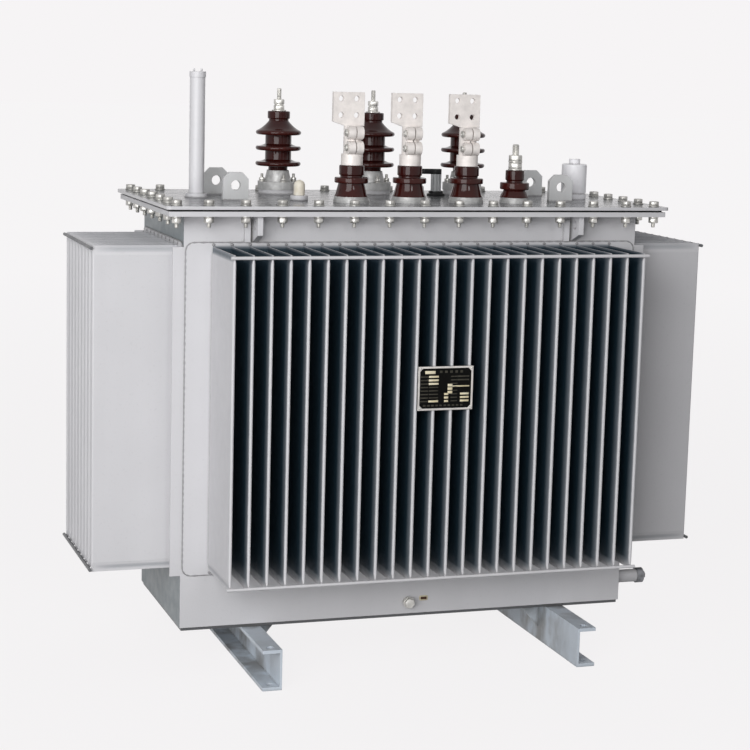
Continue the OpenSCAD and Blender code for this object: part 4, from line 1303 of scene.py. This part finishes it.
class TRANSFORMER_OT_rating_plate(bpy.types.Operator):
    """Frames the rating plate and gives it rivets and rows of blank fields"""

    bl_idname = "transformer.rating_plate"
    bl_label = "Rating plate"

    def execute(self, context):
        sizes = context.scene.transformer_plate
        colours = context.scene.transformer_paint
        bare_metal("plate_metal", colours.frame, colours.frame_dull, 0.3, 0.35, 0.0002)
        dull_plastic("plate_gold", colours.values, 0.35)
        dull_plastic("plate_grey", colours.labels, 0.4, 0.05)
        width = PLATE_HI.x - PLATE_LO.x
        depth = PLATE_HI.z - PLATE_LO.z
        middle = (PLATE_LO + PLATE_HI) / 2
        face = Matrix.Translation((middle.x, PLATE_LO.y, middle.z)) @ TO_FRONT
        fit(placed(self.frame(sizes, width, depth), face), "plate_metal", "plate_enamel")
        fit(placed(self.rivets(sizes, width, depth), face), "zinc_plate", "zinc")
        bright, dim = self.places(sizes, width - 2 * sizes.border, depth - 2 * sizes.border)
        fit(placed(self.bars("plate_values", bright, sizes), face), "plate_gold", "plate_enamel")
        fit(placed(self.bars("plate_labels", dim, sizes), face), "plate_grey", "plate_enamel")
        return {"FINISHED"}

    def frame(self, sizes, width, depth):
        """A flat frame whose inner corners are cut across."""
        piece = begin(bpy.ops.mesh.primitive_plane_add, "plate_frame", size=1.0)
        edit(piece, "FACE")
        bpy.ops.transform.resize(value=(width, depth, 1))
        bpy.ops.mesh.inset(thickness=sizes.border)
        bpy.ops.mesh.bevel(offset=sizes.corner, segments=1, affect="VERTICES")
        leave()
        inside = max(piece.data.polygons, key=lambda face: len(face.vertices)).index
        pick(piece, "FACE", lambda face: face.index == inside)
        bpy.ops.mesh.delete(type="FACE")
        leave()
        modify(piece, "SOLIDIFY", thickness=sizes.relief, offset=1.0)
        soften(piece, sizes.relief * 0.3)
        return piece

    def rivets(self, sizes, width, depth):
        """A domed rivet in each corner."""
        inset = sizes.border * 1.1
        dome = bend(0, 0, sizes.rivet, 0, 90, 5)
        heads = []
        for x in (inset - width / 2, width / 2 - inset):
            for y in (inset - depth / 2, depth / 2 - inset):
                outline = [(0, 0), *dome[:-1], (0, sizes.rivet)]
                heads.append(lathe("rivet", outline, Vector((x, y, sizes.relief)), 20))
                smooth(heads[-1])
        return joined("plate_rivets", heads)

    def places(self, sizes, width, depth):
        """The bright value fields and the dim label marks, as middle, length and height.

        They are given as shares of the plate's face inside its frame, from its middle."""
        bright = [(-0.30, 0.40, 0.20, 0.075), (0.30, 0.045, 0.33, 0.03)]
        dim = [(-0.09 + 0.10 * mark, 0.41, 0.05, 0.06) for mark in range(5)]
        dim += [(-0.40 + 0.08 * mark, -0.43, 0.05, 0.04) for mark in range(10)]
        step = 0.70 / sizes.rows
        for row in range(sizes.rows):
            y = 0.29 - row * step
            dim += [(-0.41, y, 0.15, step * 0.35), (0.17, y, 0.13, step * 0.3)]
            if row in (3, 4, 5):
                bright.append((0.09, y + step * 0.5, 0.09, step * 0.75))
            if row < 3 or row == sizes.rows - 1:
                bright.append((-0.23, y, 0.19, step * 0.55))
            else:
                dim.append((-0.23, y, 0.18, step * 0.3))
            if row >= sizes.rows - 3:
                bright += [(0.02, y, 0.08, step * 0.6), (0.375, y, 0.17, step * 0.55)]
            elif row < 2:
                dim.append((0.34, y, 0.24, step * 0.4))
        return [[(x * width, y * depth, long * width, high * depth) for x, y, long, high in bars]
                for bars in (bright, dim)]

    def bars(self, name, places, sizes):
        """Low raised bars on the plate."""
        pieces = []
        for x, y, long, high in places:
            pieces.append(block("bar", (x, y, sizes.relief * 0.2), (long, high, sizes.relief * 0.4)))
        whole = joined(name, pieces)
        soften(whole, sizes.relief * 0.1)
        return whole


class TRANSFORMER_OT_earthing(bpy.types.Operator):
    """Puts the bolt on the earthing boss and the small tag beside it"""

    bl_idname = "transformer.earthing"
    bl_label = "Earthing point"

    def execute(self, context):
        sizes = context.scene.transformer_plate
        colours = context.scene.transformer_paint
        dull_plastic("tag_cream", colours.tag, 0.35)
        dull_plastic("tag_brown", colours.tag_field, 0.35)
        middle = (EARTH_LO + EARTH_HI) / 2
        face = Matrix.Translation((middle.x, EARTH_LO.y, middle.z)) @ TO_FRONT
        flats = sizes.earth_flats
        layers = [("washer", flats * 1.3, sizes.earth_washer), ("nut", flats, sizes.earth_head)]
        bolt = placed(stack("earth_bolt", ORIGIN, layers, 0, 0, 0.3), face)
        fit(bolt, "zinc_plate", "zinc")
        beside = Vector((middle.x + sizes.tag_w * 1.9, WALL_LO.y, middle.z + sizes.tag_rise))
        face = Matrix.Translation(beside) @ TO_FRONT
        tag = self.plate("earth_tag", sizes.tag_w, sizes.tag_h, sizes.tag_t)
        fit(placed(tag, face), "tag_cream", "plate_enamel")
        field = self.plate("earth_tag_field", sizes.tag_w - sizes.tag_rim, sizes.field_h, sizes.field_t)
        fit(placed(field, face), "tag_brown", "plate_enamel")
        return {"FINISHED"}

    def plate(self, name, width, depth, thickness):
        """A small plate with round corners, standing out from the face behind it."""
        piece = block(name, (0, 0, thickness / 2), (width, depth, thickness))
        round_corners(piece, depth * 0.3, 4)
        soften(piece, thickness * 0.2)
        return piece


class TRANSFORMER_OT_stage(bpy.types.Operator):
    """Sets up the floor, the light and the camera"""

    bl_idname = "transformer.stage"
    bl_label = "Studio"

    def execute(self, context):
        settings = context.scene.transformer_stage
        floor = begin(bpy.ops.mesh.primitive_circle_add, "studio_floor", vertices=96,
                      radius=settings.floor_r, fill_type="NGON")
        studio_floor("studio_floor", settings.floor, settings.glow)
        floor.data.materials.append(bpy.data.materials["studio_floor"])
        self.world(context, settings)
        self.lights(context, settings)
        self.camera(context, settings)
        context.scene.view_settings.view_transform = "Standard"
        return {"FINISHED"}

    def world(self, context, settings):
        """Soft light from all round, seen as the pale backdrop by the eye and in reflections."""
        world = bpy.data.worlds.new("studio")
        world.use_nodes = True
        nodes = Nodes(world.node_tree)
        light = nodes.add("ShaderNodeBackground")
        nodes.feed_all(light, settings.sky, settings.ambient)
        backdrop = nodes.add("ShaderNodeBackground")
        nodes.feed_all(backdrop, settings.backdrop)
        choose = nodes.add("ShaderNodeMixShader")
        nodes.feed_all(choose, nodes.seen(), light.outputs[0], backdrop.outputs[0])
        output = nodes.add("ShaderNodeOutputWorld")
        nodes.feed(output.inputs["Surface"], choose.outputs[0])
        context.scene.world = world

    def lights(self, context, settings):
        """A large soft light at the front left, and even light from the front and the back."""
        place = Vector(settings.key_place)
        key = self.light(context, "key_light", "AREA", settings.key, Vector(settings.key_aim) - place,
                         size=settings.key_size, spread=settings.key_spread)
        key.location = place
        key.visible_camera = False
        self.light(context, "front_light", "SUN", settings.front, -Vector(settings.front_from),
                   angle=settings.front_spread)
        back = self.light(context, "back_light", "SUN", settings.back, -Vector(settings.back_from),
                          angle=settings.back_spread)
        back.visible_glossy = False

    def light(self, context, name, kind, power, aim, **settings):
        """A light that shines along its aim."""
        data = bpy.data.lights.new(name, kind)
        data.energy = power
        for key, value in settings.items():
            setattr(data, key, value)
        lamp = bpy.data.objects.new(name, data)
        context.scene.collection.objects.link(lamp)
        lamp.rotation_euler = aim.to_track_quat("-Z", "Y").to_euler()
        return lamp

    def camera(self, context, settings):
        """The camera at the viewing angle of the picture."""
        yaw, pitch, roll = settings.yaw, settings.pitch, settings.roll
        ahead = Vector((math.sin(yaw) * math.cos(pitch), math.cos(yaw) * math.cos(pitch), -math.sin(pitch)))
        level = Vector((math.cos(yaw), -math.sin(yaw), 0))
        raised = level.cross(ahead)
        right = level * math.cos(roll) + raised * math.sin(roll)
        up = raised * math.cos(roll) - level * math.sin(roll)
        data = bpy.data.cameras.new("camera")
        data.lens = settings.lens
        data.sensor_width = 36.0
        camera = bpy.data.objects.new("camera", data)
        context.scene.collection.objects.link(camera)
        turn = Matrix((right, up, -ahead)).transposed().to_4x4()
        camera.matrix_world = Matrix.Translation(settings.camera) @ turn
        context.scene.camera = camera


# Panel and registration


class TRANSFORMER_PT_looks(bpy.types.Panel):
    """Lists the settings and the steps in the sidebar"""

    bl_label = "Power transformer"
    bl_idname = "TRANSFORMER_PT_looks"
    bl_space_type = "VIEW_3D"
    bl_region_type = "UI"
    bl_category = "Transformer"

    def draw(self, context):
        for step in STEPS:
            self.layout.operator(step.bl_idname)
        for name in GROUPS:
            group = getattr(context.scene, name)
            box = self.layout.box()
            for key in group.bl_rna.properties.keys():
                if key not in ("rna_type", "name"):
                    box.prop(group, key)


GROUPS = {
    "transformer_paint": TransformerPaint,
    "transformer_bolts": TransformerBolts,
    "transformer_bushings": TransformerBushings,
    "transformer_fittings": TransformerFittings,
    "transformer_welds": TransformerWelds,
    "transformer_plate": TransformerPlate,
    "transformer_stage": TransformerStage,
}
STEPS = (
    TRANSFORMER_OT_finish_solids,
    TRANSFORMER_OT_hv_bushings,
    TRANSFORMER_OT_lv_bushings,
    TRANSFORMER_OT_neutral_bushing,
    TRANSFORMER_OT_cover_fittings,
    TRANSFORMER_OT_cover_bolts,
    TRANSFORMER_OT_welds,
    TRANSFORMER_OT_rating_plate,
    TRANSFORMER_OT_earthing,
    TRANSFORMER_OT_stage,
)


def register():
    for group in GROUPS.values():
        bpy.utils.register_class(group)
    for step in STEPS:
        bpy.utils.register_class(step)
    bpy.utils.register_class(TRANSFORMER_PT_looks)
    for name, group in GROUPS.items():
        setattr(bpy.types.Scene, name, bpy.props.PointerProperty(type=group))


def unregister():
    for name in GROUPS:
        delattr(bpy.types.Scene, name)
    bpy.utils.unregister_class(TRANSFORMER_PT_looks)
    for step in reversed(STEPS):
        bpy.utils.unregister_class(step)
    for group in reversed(list(GROUPS.values())):
        bpy.utils.unregister_class(group)


def main():
    """Builds the looks step by step."""
    register()
    bpy.ops.transformer.finish_solids()
    bpy.ops.transformer.hv_bushings()
    bpy.ops.transformer.lv_bushings()
    bpy.ops.transformer.neutral_bushing()
    bpy.ops.transformer.cover_fittings()
    bpy.ops.transformer.cover_bolts()
    bpy.ops.transformer.welds()
    bpy.ops.transformer.rating_plate()
    bpy.ops.transformer.earthing()
    bpy.ops.transformer.stage()


if __name__ == "__main__":
    main()
